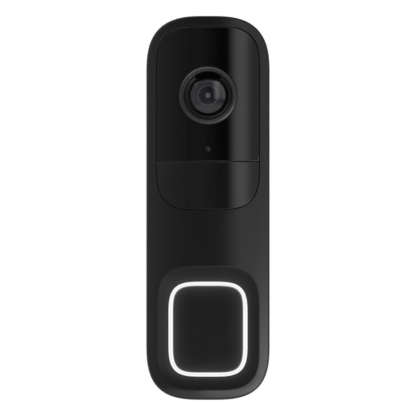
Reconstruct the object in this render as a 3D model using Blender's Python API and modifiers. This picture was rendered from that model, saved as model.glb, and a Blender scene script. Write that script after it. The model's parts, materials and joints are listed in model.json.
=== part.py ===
"""Wall-mounted video doorbell, modelled at its real size in metres with +Z up and its front facing -Y.

The origin is the middle of the wall plate's back face. Positions are given as (x, depth, height): depth is
the distance in front of the wall, so a point's Y is minus its depth.
"""

import math

import bmesh
import bpy
from mathutils import Matrix, Vector

MM = 0.001

# Body outline, seen from the front: an upright rectangle with superellipse corners.
BODY_HALF_WIDTH = 22.2 * MM
BODY_HALF_HEIGHT = 68.9 * MM
BODY_CORNER = 20.6 * MM
CORNER_EXPONENT = 2.9
CORNER_STEPS = 6

# Body in section: a front face bowed about a vertical axis, and shells of even wall.
FRONT_DEPTH = 30.0 * MM
FRONT_RADIUS = 60.0 * MM
FRONT_FACETS = 120
WALL = 2.4 * MM
FRONT_SKIN = 3.2 * MM
REAR_EDGE = 0.6 * MM
REAR_WALL_BACK = 3.0 * MM
REAR_WALL_FRONT = 5.0 * MM
SPLIT_DEPTH = 11.0 * MM
GAP = 0.3 * MM
PAST = 2.0 * MM  # how far a cutter runs beyond what it cuts

# Black panel in the upper front, in two windows.
PANEL_HALF_WIDTH = 18.5 * MM
PANEL_TOP = 65.2 * MM
PANEL_BOTTOM = -0.7 * MM
PANEL_CORNER = 14.7 * MM
PANEL_THICKNESS = 1.5 * MM
PANEL_SEAM = 0.2 * MM
PANEL_SPLIT = 16.7 * MM
PANEL_RECESS = 1.8 * MM
PANEL_LEDGE = 2.0 * MM

# Button, light ring and the dish around them.
BUTTON_HEIGHT = -43.4 * MM
DISH_HALF_WIDTH = 18.35 * MM
DISH_HALF_HEIGHT = 22.15 * MM
DISH_CORNER = 14.5 * MM
DISH_FLOOR = 26.3 * MM
PAN_BACK = 22.8 * MM
PAN_MARGIN = 1.2 * MM
RING_HALF_WIDTH = 14.4 * MM
RING_HALF_HEIGHT = 17.2 * MM
RING_CORNER = 11.0 * MM
RING_WIDTH = 1.8 * MM
RING_FRONT = 26.65 * MM
RING_BACK = 17.9 * MM
RING_FLANGE = 1.0 * MM
RING_CLEARANCE = 0.15 * MM
CAP_FRONT = 26.3 * MM
CAP_THICKNESS = 1.8 * MM
CAP_SKIRT = 1.3 * MM
CAP_SKIRT_BACK = 21.2 * MM
BUTTON_TRAVEL = 0.8 * MM

# Camera, on an axis that runs from front to back.
LENS_HEIGHT = 40.4 * MM
BEZEL_RADIUS = 10.5 * MM
BARREL_RADIUS = 6.1 * MM
LENS_RADIUS = 6.35 * MM
SHUTTLE_TRAVEL = 5.0 * MM
SHUTTLE_BACK = 13.3 * MM
SHUTTLE_FRONT = 14.3 * MM
LEVER_PIVOT_HEIGHT = 51.0 * MM
LEVER_ARM = 5.6 * MM
MICROPHONE_HEIGHT = 25.4 * MM
STATUS_HEIGHT = 21.2 * MM

# Boards, battery and sensors.
BOARD_THICKNESS = 1.2 * MM
CAMERA_BOARD_BACK = 8.9 * MM
MAIN_BOARD_BACK = 15.0 * MM
FRONT_BOARD_BACK = 22.0 * MM
MOTION_SENSOR_HEIGHT = 8.0 * MM

# Wall plate, and the screw that locks the doorbell to it from below.
PLATE_THICKNESS = 2.4 * MM
PLATE_INSET = 3.4 * MM
LOCK_DEPTH = 5.5 * MM
LOCK_TRAVEL = 1.8 * MM
TAMPER_X = 14.8 * MM
TAMPER_HEIGHT = 8.0 * MM

# Screws that hold the rear cover to the front housing: (x, height), one of each mirrored pair.
HOUSING_SCREWS = ((14.5 * MM, 61.0 * MM), (12.6 * MM, -63.2 * MM))

FACING_FRONT = (math.pi / 2, 0, 0)  # local X across, local Y up, local Z to the front
FACING_LEFT = (math.pi / 2, 0, -math.pi / 2)  # local X to the front, local Y up, local Z to -X
FACING_DOWN = (math.pi, 0, 0)  # local X across, local Y to the front, local Z down
UPRIGHT = (0, 0, 0)


# ---------------------------------------------------------------- scene, materials and joint axes


def start_scene():
    for obj in list(bpy.data.objects):
        bpy.data.objects.remove(obj)
    made = []
    for name in ("video_doorbell", "cutters"):
        collection = bpy.data.collections.new(name)
        bpy.context.scene.collection.children.link(collection)
        made.append(collection)
    return made


PARTS, CUTTERS = start_scene()

FINISHES = {  # colour, roughness, metallic
    "matte_black": ((0.022, 0.023, 0.022), 0.48, 0.0),
    "gloss_black": ((0.006, 0.006, 0.006), 0.06, 0.0),
    "window_black": ((0.016, 0.017, 0.016), 0.16, 0.0),
    "inner_black": ((0.03, 0.03, 0.03), 0.6, 0.0),
    "light_guide": ((0.95, 0.95, 0.95), 0.3, 0.0),
    "clear_plastic": ((0.8, 0.82, 0.82), 0.1, 0.0),
    "lens_glass": ((0.10, 0.09, 0.12), 0.03, 0.0),
    "filter_glass": ((0.35, 0.6, 0.62), 0.05, 0.0),
    "circuit_board": ((0.02, 0.16, 0.07), 0.45, 0.0),
    "chip_black": ((0.02, 0.02, 0.022), 0.4, 0.0),
    "shield_tin": ((0.62, 0.62, 0.60), 0.35, 1.0),
    "steel": ((0.55, 0.56, 0.57), 0.3, 1.0),
    "brass": ((0.72, 0.53, 0.26), 0.35, 1.0),
    "magnet": ((0.4, 0.4, 0.42), 0.3, 1.0),
    "copper": ((0.75, 0.4, 0.25), 0.35, 1.0),
    "silicone": ((0.05, 0.05, 0.055), 0.7, 0.0),
    "foam": ((0.03, 0.03, 0.03), 0.95, 0.0),
    "battery_wrap": ((0.05, 0.12, 0.3), 0.4, 0.0),
    "flex": ((0.45, 0.22, 0.05), 0.4, 0.0),
}


def finish(name):
    """The Principled material of that finish, made on first use."""
    found = bpy.data.materials.get(name)
    if found:
        return found
    made = bpy.data.materials.new(name)
    made.use_nodes = True
    shader = made.node_tree.nodes["Principled BSDF"]
    colour, roughness, metallic = FINISHES[name]
    shader.inputs["Base Color"].default_value = (*colour, 1.0)
    shader.inputs["Roughness"].default_value = roughness
    shader.inputs["Metallic"].default_value = metallic
    made.diffuse_color = (*colour, 1.0)
    return made


def axis_empty(name, position):
    """An empty on a joint's axis, which the pieces that move with it are parented to."""
    empty = bpy.data.objects.new(name, None)
    empty.empty_display_size = 5 * MM
    empty.location = position
    PARTS.objects.link(empty)
    return empty


def carry(empty, *pieces):
    """Parents pieces to an empty, and leaves them where they are."""
    bpy.context.view_layer.update()
    for piece in pieces:
        piece.parent = empty
        piece.matrix_parent_inverse = empty.matrix_world.inverted()


# ---------------------------------------------------------------- shapes


def at(x, depth, height):
    return Vector((x, -depth, height))


def in_mm(*points):
    """The same points, given in millimetres, in metres."""
    return [tuple(value * MM for value in point) for point in points]


def add(name, data, finish_name, position, rotation):
    obj = bpy.data.objects.new(name, data)
    obj.location = position
    obj.rotation_euler = rotation
    if finish_name:
        data.materials.append(finish(finish_name))
    PARTS.objects.link(obj)
    return obj


def smooth(obj, degrees=35):
    obj.data.shade_smooth()
    obj.data.set_sharp_from_angle(angle=math.radians(degrees))
    return obj


def rounded(half_width, half_height, corner, inset=0.0, x=0.0, height=0.0, exponent=CORNER_EXPONENT):
    """Points of a rectangle whose corners are quarters of a superellipse, drawn anticlockwise."""
    reach = corner - inset
    middles = (
        (half_width - corner, half_height - corner),
        (corner - half_width, half_height - corner),
        (corner - half_width, corner - half_height),
        (half_width - corner, corner - half_height),
    )
    points = []
    for quarter, (middle_x, middle_z) in enumerate(middles):
        for step in range(CORNER_STEPS + 1):
            angle = math.pi / 2 * (quarter + step / CORNER_STEPS)
            across, up = math.cos(angle), math.sin(angle)
            points.append(
                (
                    x + middle_x + math.copysign(abs(across) ** (2 / exponent), across) * reach,
                    height + middle_z + math.copysign(abs(up) ** (2 / exponent), up) * reach,
                )
            )
    return points


def body_outline(inset=0.0):
    return rounded(BODY_HALF_WIDTH, BODY_HALF_HEIGHT, BODY_CORNER, inset)


def panel_outline(inset=0.0):
    half_height = (PANEL_TOP - PANEL_BOTTOM) / 2
    middle = (PANEL_TOP + PANEL_BOTTOM) / 2
    return rounded(PANEL_HALF_WIDTH, half_height, PANEL_CORNER, inset, height=middle)


def dish_outline(inset=0.0):
    return rounded(DISH_HALF_WIDTH, DISH_HALF_HEIGHT, DISH_CORNER, inset, height=BUTTON_HEIGHT)


def ring_outline(inset=0.0):
    return rounded(RING_HALF_WIDTH, RING_HALF_HEIGHT, RING_CORNER, inset, height=BUTTON_HEIGHT)


def rectangle(left, right, bottom, top):
    return [(left, bottom), (right, bottom), (right, top), (left, top)]


def circle(x, y, radius, sides=24):
    turn = 2 * math.pi / sides
    return [(x + radius * math.cos(i * turn), y + radius * math.sin(i * turn)) for i in range(sides)]


def slot(x, height, width, length, upright=True, steps=6):
    """Points of a slot with round ends, centred on (x, height)."""
    points = []
    for end in (0, 1):
        for step in range(steps + 1):
            angle = math.pi * (end + step / steps)
            across = width / 2 * math.cos(angle)
            along = width / 2 * math.sin(angle) + (1 - 2 * end) * (length - width) / 2
            points.append((x + across, height + along) if upright else (x + along, height - across))
    return points


def extrusion(name, loops, low, high, finish_name, rotation, offset):
    """A flat outline, with any holes in it, as a filled 2D curve extruded between two levels."""
    curve = bpy.data.curves.new(name, "CURVE")
    curve.dimensions = "2D"
    curve.fill_mode = "BOTH"
    curve.extrude = (high - low) / 2
    for points in loops:
        spline = curve.splines.new("POLY")
        spline.points.add(len(points) - 1)
        for spot, (across, up) in zip(spline.points, points):
            spot.co = (across, up, 0, 1)
        spline.use_cyclic_u = True
    return add(name, curve, finish_name, Vector(offset) * ((low + high) / 2), rotation)


def plate(name, loops, back, front, finish_name=None):
    """Loops of (x, height), extruded from one depth to another."""
    return extrusion(name, loops, back, front, finish_name, FACING_FRONT, (0, -1, 0))


def strip(name, loops, left, right, finish_name=None):
    """Loops of (depth, height), extruded across from left to right."""
    return extrusion(name, loops, left, right, finish_name, FACING_LEFT, (1, 0, 0))


def slab(name, loops, bottom, top, finish_name=None):
    """Loops of (x, depth), extruded from one height to another."""
    return extrusion(name, loops, bottom, top, finish_name, FACING_DOWN, (0, 0, 1))


def as_mesh(obj, weld=1e-6):
    """The evaluated object as a plain mesh object, with the ends of an extruded curve welded on."""
    bpy.context.view_layer.update()
    graph = bpy.context.evaluated_depsgraph_get()
    mesh = bpy.data.meshes.new_from_object(obj.evaluated_get(graph))
    shape = bmesh.new()
    shape.from_mesh(mesh)
    bmesh.ops.remove_doubles(shape, verts=shape.verts, dist=weld)
    bmesh.ops.recalc_face_normals(shape, faces=shape.faces)
    shape.to_mesh(mesh)
    shape.free()
    name, world = obj.name, obj.matrix_world.copy()
    bpy.data.objects.remove(obj)
    made = bpy.data.objects.new(name, mesh)
    made.matrix_world = world
    PARTS.objects.link(made)
    return made


def box(name, low, high, finish_name=None):
    """A box between two corners, each (x, depth, height)."""
    mesh = bpy.data.meshes.new(name)
    shape = bmesh.new()
    bmesh.ops.create_cube(shape, size=1)
    size = [abs(h - l) for l, h in zip(low, high)]
    bmesh.ops.scale(shape, vec=size, verts=shape.verts)
    shape.to_mesh(mesh)
    shape.free()
    middle = [(l + h) / 2 for l, h in zip(low, high)]
    return add(name, mesh, finish_name, at(*middle), UPRIGHT)


def cylinder(name, radius, low, high, position, rotation, finish_name=None, sides=24):
    """A cylinder between two levels of its own Z axis; position is where that axis starts."""
    mesh = bpy.data.meshes.new(name)
    shape = bmesh.new()
    bmesh.ops.create_cone(
        shape, cap_ends=True, segments=sides, radius1=radius, radius2=radius, depth=high - low
    )
    bmesh.ops.translate(shape, vec=(0, 0, (low + high) / 2), verts=shape.verts)
    shape.to_mesh(mesh)
    shape.free()
    return smooth(add(name, mesh, finish_name, position, rotation))


def rod(name, radius, back, front, x, height, finish_name=None, sides=24):
    """A cylinder that runs from one depth to another."""
    return cylinder(name, radius, back, front, at(x, 0, height), FACING_FRONT, finish_name, sides)


def post(name, radius, bottom, top, x, depth, finish_name=None, sides=24):
    """A cylinder that stands between two heights."""
    return cylinder(name, radius, bottom, top, at(x, depth, 0), UPRIGHT, finish_name, sides)


def turned(name, profile, position, rotation, finish_name=None, steps=32, closed=False):
    """A profile of (radius, level) swept round its own Z axis. It runs down the outer side, top to bottom."""
    mesh = bpy.data.meshes.new(name)
    points = [(radius, 0, level) for radius, level in profile]
    edges = [(i, i + 1) for i in range(len(points) - 1)]
    if closed:
        edges.append((len(points) - 1, 0))
    mesh.from_pydata(points, edges, [])
    obj = add(name, mesh, finish_name, position, rotation)
    sweep = obj.modifiers.new("sweep", "SCREW")
    sweep.steps = steps
    sweep.render_steps = steps
    sweep.use_merge_vertices = True
    sweep.merge_threshold = 1e-6
    sweep.use_smooth_shade = True
    return obj


def turned_to_front(name, profile, x, height, finish_name=None, steps=32, closed=False):
    """A turned piece on an axis that runs to the front; its profile is (radius, depth)."""
    return turned(name, profile, at(x, 0, height), FACING_FRONT, finish_name, steps, closed)


def loft(name, sections):
    """A closed solid through sections of equally many (x, depth, height) points, from back to front."""
    mesh = bpy.data.meshes.new(name)
    count = len(sections[0])
    points = [at(*point) for section in sections for point in section]
    faces = [list(range(count)), list(range(len(points) - 1, len(points) - count - 1, -1))]
    for level in range(len(sections) - 1):
        for i in range(count):
            a, b = level * count + i, level * count + (i + 1) % count
            faces.append([a, a + count, b + count, b])
    mesh.from_pydata(points, [], faces)
    shape = bmesh.new()
    shape.from_mesh(mesh)
    bmesh.ops.recalc_face_normals(shape, faces=shape.faces)
    shape.to_mesh(mesh)
    shape.free()
    return add(name, mesh, None, (0, 0, 0), UPRIGHT)


def wire(name, points, radius, finish_name):
    """A round lead or spring wire along points given as (x, depth, height)."""
    curve = bpy.data.curves.new(name, "CURVE")
    curve.dimensions = "3D"
    curve.bevel_depth = radius
    curve.bevel_resolution = 1
    curve.use_fill_caps = True
    spline = curve.splines.new("POLY")
    spline.points.add(len(points) - 1)
    for spot, point in zip(spline.points, points):
        spot.co = (*at(*point), 1)
    return add(name, curve, finish_name, (0, 0, 0), UPRIGHT)


def combine(target, helper, operation):
    """Cuts from, joins to or intersects the target with a helper, which is then only a guide."""
    PARTS.objects.unlink(helper)
    CUTTERS.objects.link(helper)
    helper.hide_render = True
    helper.display_type = "WIRE"
    step = target.modifiers.new(helper.name, "BOOLEAN")
    step.operation = operation
    step.object = helper
    return target


def cut(target, *helpers):
    for helper in helpers:
        combine(target, helper, "DIFFERENCE")
    return target


def join(target, *helpers):
    for helper in helpers:
        combine(target, helper, "UNION")
    return target


def bowed(name, radius_inset, back):
    """The space behind the bowed front face, or behind a surface that far inside it, as a tall cylinder."""
    reach = BODY_HALF_HEIGHT + 10 * MM
    axis_depth = FRONT_DEPTH - FRONT_RADIUS
    return post(name, FRONT_RADIUS - radius_inset, -reach, reach, 0, axis_depth + back, sides=FRONT_FACETS)


def front_depth(x, inset=0.0):
    """Depth of the bowed front face, or of a surface that far inside it, at x."""
    radius = FRONT_RADIUS - inset
    return FRONT_DEPTH - FRONT_RADIUS + math.sqrt(radius * radius - x * x)


# ---------------------------------------------------------------- casing


def screw_places():
    """(label, x, height) of each housing screw."""
    for row, (x, height) in zip(("top", "bottom"), HOUSING_SCREWS):
        yield f"{row}_left", -x, height
        yield f"{row}_right", x, height


def make_front_housing():
    back, beyond = SPLIT_DEPTH + GAP, FRONT_DEPTH + PAST
    housing = as_mesh(plate("front_housing", [body_outline()], back, beyond, "matte_black"))
    combine(housing, bowed("front_bow", 0, 0), "INTERSECT")

    cavity = as_mesh(plate("front_cavity", [body_outline(WALL)], SPLIT_DEPTH - PAST, FRONT_DEPTH))
    combine(cavity, bowed("cavity_bow", FRONT_SKIN, 0), "INTERSECT")
    cut(housing, as_mesh(cavity))

    pan = as_mesh(plate("dish_pan", [dish_outline(-PAN_MARGIN)], PAN_BACK, FRONT_DEPTH - FRONT_SKIN))
    limit = as_mesh(plate("pan_limit", [body_outline(WALL / 2)], PAN_BACK - PAST, FRONT_DEPTH))
    combine(pan, limit, "INTERSECT")
    combine(pan, bowed("pan_bow", FRONT_SKIN / 2, 0), "INTERSECT")
    join(housing, as_mesh(pan))
    for label, x, height in screw_places():
        join(housing, rod(f"front_boss_{label}", 2.6 * MM, back + GAP, 25.3 * MM, x, height, sides=16))

    recess = as_mesh(plate("panel_recess", [panel_outline()], SPLIT_DEPTH, beyond))
    cut(recess, bowed("recess_bow", PANEL_RECESS, 0))
    cut(housing, as_mesh(recess))
    hole = as_mesh(plate("panel_hole", [panel_outline(PANEL_LEDGE)], SPLIT_DEPTH, beyond))
    cut(hole, bowed("hole_bow", FRONT_SKIN + 2 * GAP, 0))
    cut(housing, as_mesh(hole))
    cut(housing, make_dish_cutter())
    ring_hole = [ring_outline(-RING_CLEARANCE)]
    cut(housing, as_mesh(plate("ring_hole", ring_hole, PAN_BACK - PAST, DISH_FLOOR + PAST / 2)))
    for label, x, height in screw_places():
        cut(housing, rod(f"front_pilot_{label}", 1.4 * MM, back - PAST, 20.5 * MM, x, height, sides=12))
    for number in range(5):
        x = (number - 2) * 3.0 * MM
        low, high = -BODY_HALF_HEIGHT - PAST, -BODY_HALF_HEIGHT + WALL + PAST / 2
        sound_slot = slot(x, 16.8 * MM, 1.3 * MM, 7.6 * MM, steps=4)
        cut(housing, as_mesh(slab(f"sound_slot_{number + 1}", [sound_slot], low, high)))
    return housing


def make_dish_cutter():
    """The dish's hollow: flat at the light ring, and meeting the bowed front in the dish's own outline."""
    floor = [Vector((x, DISH_FLOOR, z)) for x, z in ring_outline(-RING_CLEARANCE)]
    edge = [Vector((x, front_depth(x), z)) for x, z in dish_outline()]
    outside = []
    for low, high in zip(floor, edge):
        point = low.lerp(high, 1.6)
        point.y = max(point.y, FRONT_DEPTH + PAST)
        outside.append(point)
    return loft("dish_hollow", [floor, edge, outside])


def make_rear_cover():
    cover = as_mesh(plate("rear_cover", [body_outline()], REAR_EDGE, SPLIT_DEPTH, "matte_black"))
    cut(cover, as_mesh(plate("rear_tray", [body_outline(WALL)], REAR_WALL_FRONT, SPLIT_DEPTH + PAST)))
    cut(cover, as_mesh(plate("rear_skirt", [body_outline(WALL)], REAR_EDGE - PAST, REAR_WALL_BACK)))

    inside = REAR_WALL_FRONT - 0.5 * MM
    join(cover, box("terminal_walls", (-11 * MM, inside, 1.5 * MM), (11 * MM, 12 * MM, 26.5 * MM)))
    join(cover, box("tongue_walls", (-9 * MM, inside, 57 * MM), (9 * MM, 9.4 * MM, 63.5 * MM)))
    bottom = -BODY_HALF_HEIGHT
    join(cover, box("lock_walls", (-6 * MM, inside, bottom + WALL / 2), (6 * MM, 9.9 * MM, -57.5 * MM)))
    join(cover, rod("tamper_guide", 3.4 * MM, inside, 9.4 * MM, TAMPER_X, TAMPER_HEIGHT, sides=20))
    for label, x, height in screw_places():
        join(cover, rod(f"rear_boss_{label}", 3.3 * MM, inside, SPLIT_DEPTH - 2 * GAP, x, height, sides=16))

    seat = [body_outline(WALL / 2 - 0.1 * MM), body_outline(WALL + 0.5 * MM)]
    cut(cover, as_mesh(plate("gasket_seat", seat, SPLIT_DEPTH - 1.4 * MM, SPLIT_DEPTH + PAST)))
    back = REAR_WALL_BACK - PAST
    cut(cover, box("terminal_pocket", (-9.5 * MM, back, 3 * MM), (9.5 * MM, 10.5 * MM, 25 * MM)))
    cut(cover, box("tongue_pocket", (-7.4 * MM, back, 58.6 * MM), (7.4 * MM, 8 * MM, 61.9 * MM)))
    cut(cover, box("lock_pocket", (-4.4 * MM, back, -62 * MM), (4.4 * MM, 8.6 * MM, -58.8 * MM)))
    cut(cover, rod("tamper_hole", 2.15 * MM, back, 9.4 * MM + PAST, TAMPER_X, TAMPER_HEIGHT, sides=20))
    for label, x, height in screw_places():
        cut(cover, rod(f"rear_counterbore_{label}", 2.75 * MM, back, 6 * MM, x, height, sides=16))
        cut(cover, rod(f"rear_passage_{label}", 1.5 * MM, 5 * MM, SPLIT_DEPTH + PAST, x, height, sides=12))
    cut(cover, post("lock_counterbore", 2.9 * MM, bottom - PAST, -64 * MM, 0, LOCK_DEPTH, sides=20))
    cut(cover, post("lock_clearance", 1.8 * MM, -65 * MM, -61 * MM, 0, LOCK_DEPTH, sides=16))
    return cover


def make_housing_gasket():
    loops = [body_outline(WALL / 2 + 0.2 * MM), body_outline(WALL)]
    return plate("housing_gasket", loops, SPLIT_DEPTH - 1.1 * MM, SPLIT_DEPTH, "silicone")


def make_housing_screws():
    """Four alike: a cheese head with a hexagon socket, and a plain shank."""
    profile = in_mm((0, 18.5), (1.2, 18.5), (1.2, 5.7), (2.4, 5.7), (2.4, 3.9), (0, 3.9))
    pattern = turned_to_front("housing_screw", profile, 0, 0, "steel", steps=16)
    cut(pattern, rod("screw_socket", 1.2 * MM, 3.9 * MM - PAST, 5.0 * MM, 0, 0, sides=6))
    mesh = as_mesh(pattern).data
    bpy.data.objects.remove(bpy.data.objects["housing_screw"])
    for label, x, height in screw_places():
        add(f"housing_screw_{label}", mesh, None, at(x, 0, height), FACING_FRONT)


# ---------------------------------------------------------------- front windows


def make_window(name, part_of_panel, finish_name):
    """The panel's outline between two heights, bowed like the front face."""
    window = as_mesh(plate(name, [panel_outline(PANEL_SEAM)], 20 * MM, FRONT_DEPTH + PAST, finish_name))
    combine(window, bowed(f"{name}_front", 0, 0), "INTERSECT")
    cut(window, bowed(f"{name}_back", PANEL_THICKNESS, 0))
    wide = PANEL_HALF_WIDTH + PAST
    low, high = part_of_panel
    return combine(window, box(f"{name}_limit", (-wide, 15 * MM, low), (wide, 35 * MM, high)), "INTERSECT")


def make_camera_panel():
    panel = make_window("camera_panel", (PANEL_SPLIT + PANEL_SEAM / 2, PANEL_TOP + PAST), "gloss_black")
    hole = BEZEL_RADIUS + RING_CLEARANCE
    cut(panel, rod("bezel_hole", hole, 20 * MM, 35 * MM, 0, LENS_HEIGHT, sides=40))
    cut(panel, rod("microphone_hole", 0.6 * MM, 20 * MM, 35 * MM, 0, MICROPHONE_HEIGHT, sides=12))
    return cut(panel, rod("status_hole", 1.15 * MM, 20 * MM, 35 * MM, 0, STATUS_HEIGHT, sides=16))


def make_motion_window():
    return make_window("motion_window", (PANEL_BOTTOM - PAST, PANEL_SPLIT - PANEL_SEAM / 2), "window_black")


# ---------------------------------------------------------------- camera


def make_camera_bezel():
    lip = in_mm((9.5, 30.45), (10.0, 30.55), (10.35, 30.4), (10.5, 30.1), (10.5, 26.9), (12.0, 26.9))
    profile = lip + in_mm((12.0, 25.9), (8.1, 25.9), (8.1, 28.2), (8.4, 28.9), (8.9, 29.6))
    return turned_to_front("camera_bezel", profile, 0, LENS_HEIGHT, "gloss_black", steps=30, closed=True)


def make_lens():
    """Barrel, front element and inner element, all turned on the camera's axis."""
    barrel = in_mm((7.2, 28.0), (7.6, 27.6), (7.6, 25.4), (6.1, 25.4), (6.1, 17.0), (4.6, 17.0))
    barrel += in_mm((4.6, 22.0), (5.6, 22.0), (5.6, 26.2), (6.65, 26.2), (6.65, 28.0))
    turned_to_front("lens_barrel", barrel, 0, LENS_HEIGHT, "inner_black", steps=20, closed=True)

    front_bulge, back_bulge, rings = 1.3 * MM, 1.6 * MM, 4
    front, back = [], []
    for ring in range(rings + 1):
        share = ring / rings
        front.append((LENS_RADIUS * share, 29.0 * MM - front_bulge * share**2))
        back.append((5.0 * MM * (1 - share), 26.5 * MM + back_bulge * (1 - (1 - share) ** 2)))
    element = front + [(LENS_RADIUS, 26.5 * MM)] + back
    turned_to_front("lens_front_element", element, 0, LENS_HEIGHT, "lens_glass", steps=20)

    inner = in_mm((0, 24.9), (1.8, 24.7), (3.6, 24.2), (5.2, 23.6), (5.2, 22.4), (0, 22.4))
    turned_to_front("lens_inner_element", inner, 0, LENS_HEIGHT, "lens_glass", steps=20)


def make_lens_holder():
    """A block on the camera board, bored for the barrel, with room for the filter shuttle and its lever."""
    half = 8.0 * MM
    low = (-9.5 * MM, 10.4 * MM, LENS_HEIGHT - half)
    high = (9.5 * MM, 19.0 * MM, LENS_HEIGHT + half)
    holder = box("lens_holder", low, high, "inner_black")
    cut(holder, rod("barrel_bore", BARREL_RADIUS + 0.2 * MM, 16.6 * MM, 21 * MM, 0, LENS_HEIGHT, sides=32))
    cut(holder, rod("light_path", 4.4 * MM, 12 * MM, 18 * MM, 0, LENS_HEIGHT, sides=24))
    z = LENS_HEIGHT
    cut(holder, box("shuttle_slot", (-12 * MM, 13 * MM, z - 4 * MM), (12 * MM, 14.6 * MM, z + 8.5 * MM)))
    cut(holder, box("lever_window", (-5.5 * MM, 14.2 * MM, z + 4 * MM), (5.5 * MM, 20 * MM, z + 9 * MM)))
    low, high = (-4.6 * MM, 9 * MM, z - 4.6 * MM), (4.6 * MM, 12.4 * MM, z + 4.6 * MM)
    return cut(holder, box("sensor_space", low, high))


def make_filter_shuttle():
    """The frame that slides the infrared filter in front of the sensor by day and clear glass by night."""
    rest = -SHUTTLE_TRAVEL / 2
    z = LENS_HEIGHT
    shape = in_mm((-5.9, -3.5), (5.9, -3.5), (5.9, 3.3), (1.9, 3.3), (1.9, 7.0), (-1.9, 7.0), (-1.9, 3.3))
    shape += in_mm((-5.9, 3.3))
    frame = [(rest + x, z + height) for x, height in shape]
    windows = [
        rectangle(middle - 2.2 * MM, middle + 2.2 * MM, z - 2.5 * MM, z + 2.5 * MM)
        for middle in (rest - SHUTTLE_TRAVEL / 2, rest + SHUTTLE_TRAVEL / 2)
    ]
    drive_slot = rectangle(rest - 0.7 * MM, rest + 0.7 * MM, z + 4.2 * MM, z + 6.4 * MM)
    loops = [frame, *windows, drive_slot]
    shuttle = plate("filter_shuttle", loops, SHUTTLE_BACK, SHUTTLE_FRONT, "inner_black")
    glasses = []
    for name, side in (("clear_filter_glass", -1), ("infrared_cut_glass", 1)):
        x = rest + side * SHUTTLE_TRAVEL / 2
        low = (x - 2.0 * MM, SHUTTLE_BACK + 0.2 * MM, z - 2.3 * MM)
        high = (x + 2.0 * MM, SHUTTLE_FRONT - 0.2 * MM, z + 2.3 * MM)
        glasses.append(box(name, low, high, "filter_glass"))
    carry(axis_empty("filter_slide", at(0, SHUTTLE_BACK, z)), shuttle, *glasses)


def make_filter_lever():
    """The motor's lever: a hub, an arm that hangs from it and a pin in the shuttle's slot."""
    swing = math.asin(SHUTTLE_TRAVEL / 2 / LEVER_ARM)
    pin_x = -SHUTTLE_TRAVEL / 2
    pin_height = LEVER_PIVOT_HEIGHT - LEVER_ARM * math.cos(swing)
    lever = rod("filter_lever", 1.6 * MM, 14.7 * MM, 16.6 * MM, 0, LEVER_PIVOT_HEIGHT, "inner_black", 16)
    arm = box("lever_arm", (-0.8 * MM, 14.9 * MM, -LEVER_ARM - 0.8 * MM), (0.8 * MM, 16.2 * MM, 0))
    arm.data.transform(Matrix.Translation((0, 0, -(LEVER_ARM + 0.8 * MM) / 2)))
    arm.location = at(0, 15.55 * MM, LEVER_PIVOT_HEIGHT)
    arm.rotation_euler = (0, swing, 0)
    join(lever, arm)
    join(lever, rod("lever_pin", 0.45 * MM, 13.2 * MM, 15.5 * MM, pin_x, pin_height, sides=12))
    join(lever, rod("lever_shaft", 0.6 * MM, 12.0 * MM, 15.0 * MM, 0, LEVER_PIVOT_HEIGHT, sides=12))
    carry(axis_empty("filter_lever_pivot", at(0, 15 * MM, LEVER_PIVOT_HEIGHT)), lever)


def make_filter_motor():
    low = (-6.5 * MM, 10.4 * MM, 48.8 * MM)
    high = (6.5 * MM, 14.3 * MM, 55.0 * MM)
    motor = box("filter_motor", low, high, "copper")
    return cut(motor, rod("motor_bore", 0.85 * MM, 11.5 * MM, 15 * MM, 0, LEVER_PIVOT_HEIGHT, sides=16))


def make_camera_electronics():
    front = CAMERA_BOARD_BACK + BOARD_THICKNESS
    board = rounded(15 * MM, 14.5 * MM, 3 * MM, height=41.5 * MM, exponent=2)
    plate("camera_board", [board], CAMERA_BOARD_BACK, front, "circuit_board")
    z = LENS_HEIGHT
    low, high = (-3.8 * MM, front + GAP, z - 3.8 * MM), (3.8 * MM, front + 1.4 * MM, z + 3.8 * MM)
    box("image_sensor", low, high, "chip_black")


# ---------------------------------------------------------------- front board, behind the camera panel


def make_front_board():
    back, front = FRONT_BOARD_BACK, FRONT_BOARD_BACK + BOARD_THICKNESS
    board = rounded(16.5 * MM, 19.2 * MM, 7 * MM, height=38.0 * MM, exponent=2)
    lens_hole = circle(0, LENS_HEIGHT, 8.4 * MM, 32)
    plate("front_board", [board, lens_hole], back, front, "circuit_board")
    for side, x in (("left", -12.5 * MM), ("right", 12.5 * MM)):
        low = (x - 1.75 * MM, front + GAP, 50.0 * MM)
        high = (x + 1.75 * MM, front + 2.0 * MM, 53.5 * MM)
        box(f"infrared_led_{side}", low, high, "clear_plastic")
    z = MICROPHONE_HEIGHT
    low, high = (-1.5 * MM, front + GAP, z - 1.3 * MM), (1.5 * MM, front + 1.3 * MM, z + 1.5 * MM)
    box("microphone", low, high, "shield_tin")
    boot = in_mm((1.7, 28.2), (1.7, 24.8), (0.5, 24.8), (0.5, 28.2))
    turned_to_front("microphone_boot", boot, 0, z, "silicone", steps=16, closed=True)
    z = STATUS_HEIGHT
    pipe = in_mm((0, 29.95), (0.75, 29.9), (1.0, 29.75), (1.0, 28.3), (1.5, 28.1), (1.5, 27.2))
    pipe += in_mm((1.0, 27.0), (1.0, 24.4), (0, 24.4))
    turned_to_front("status_light_pipe", pipe, 0, z, "clear_plastic", steps=16)


# ---------------------------------------------------------------- main board, battery and radio


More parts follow.
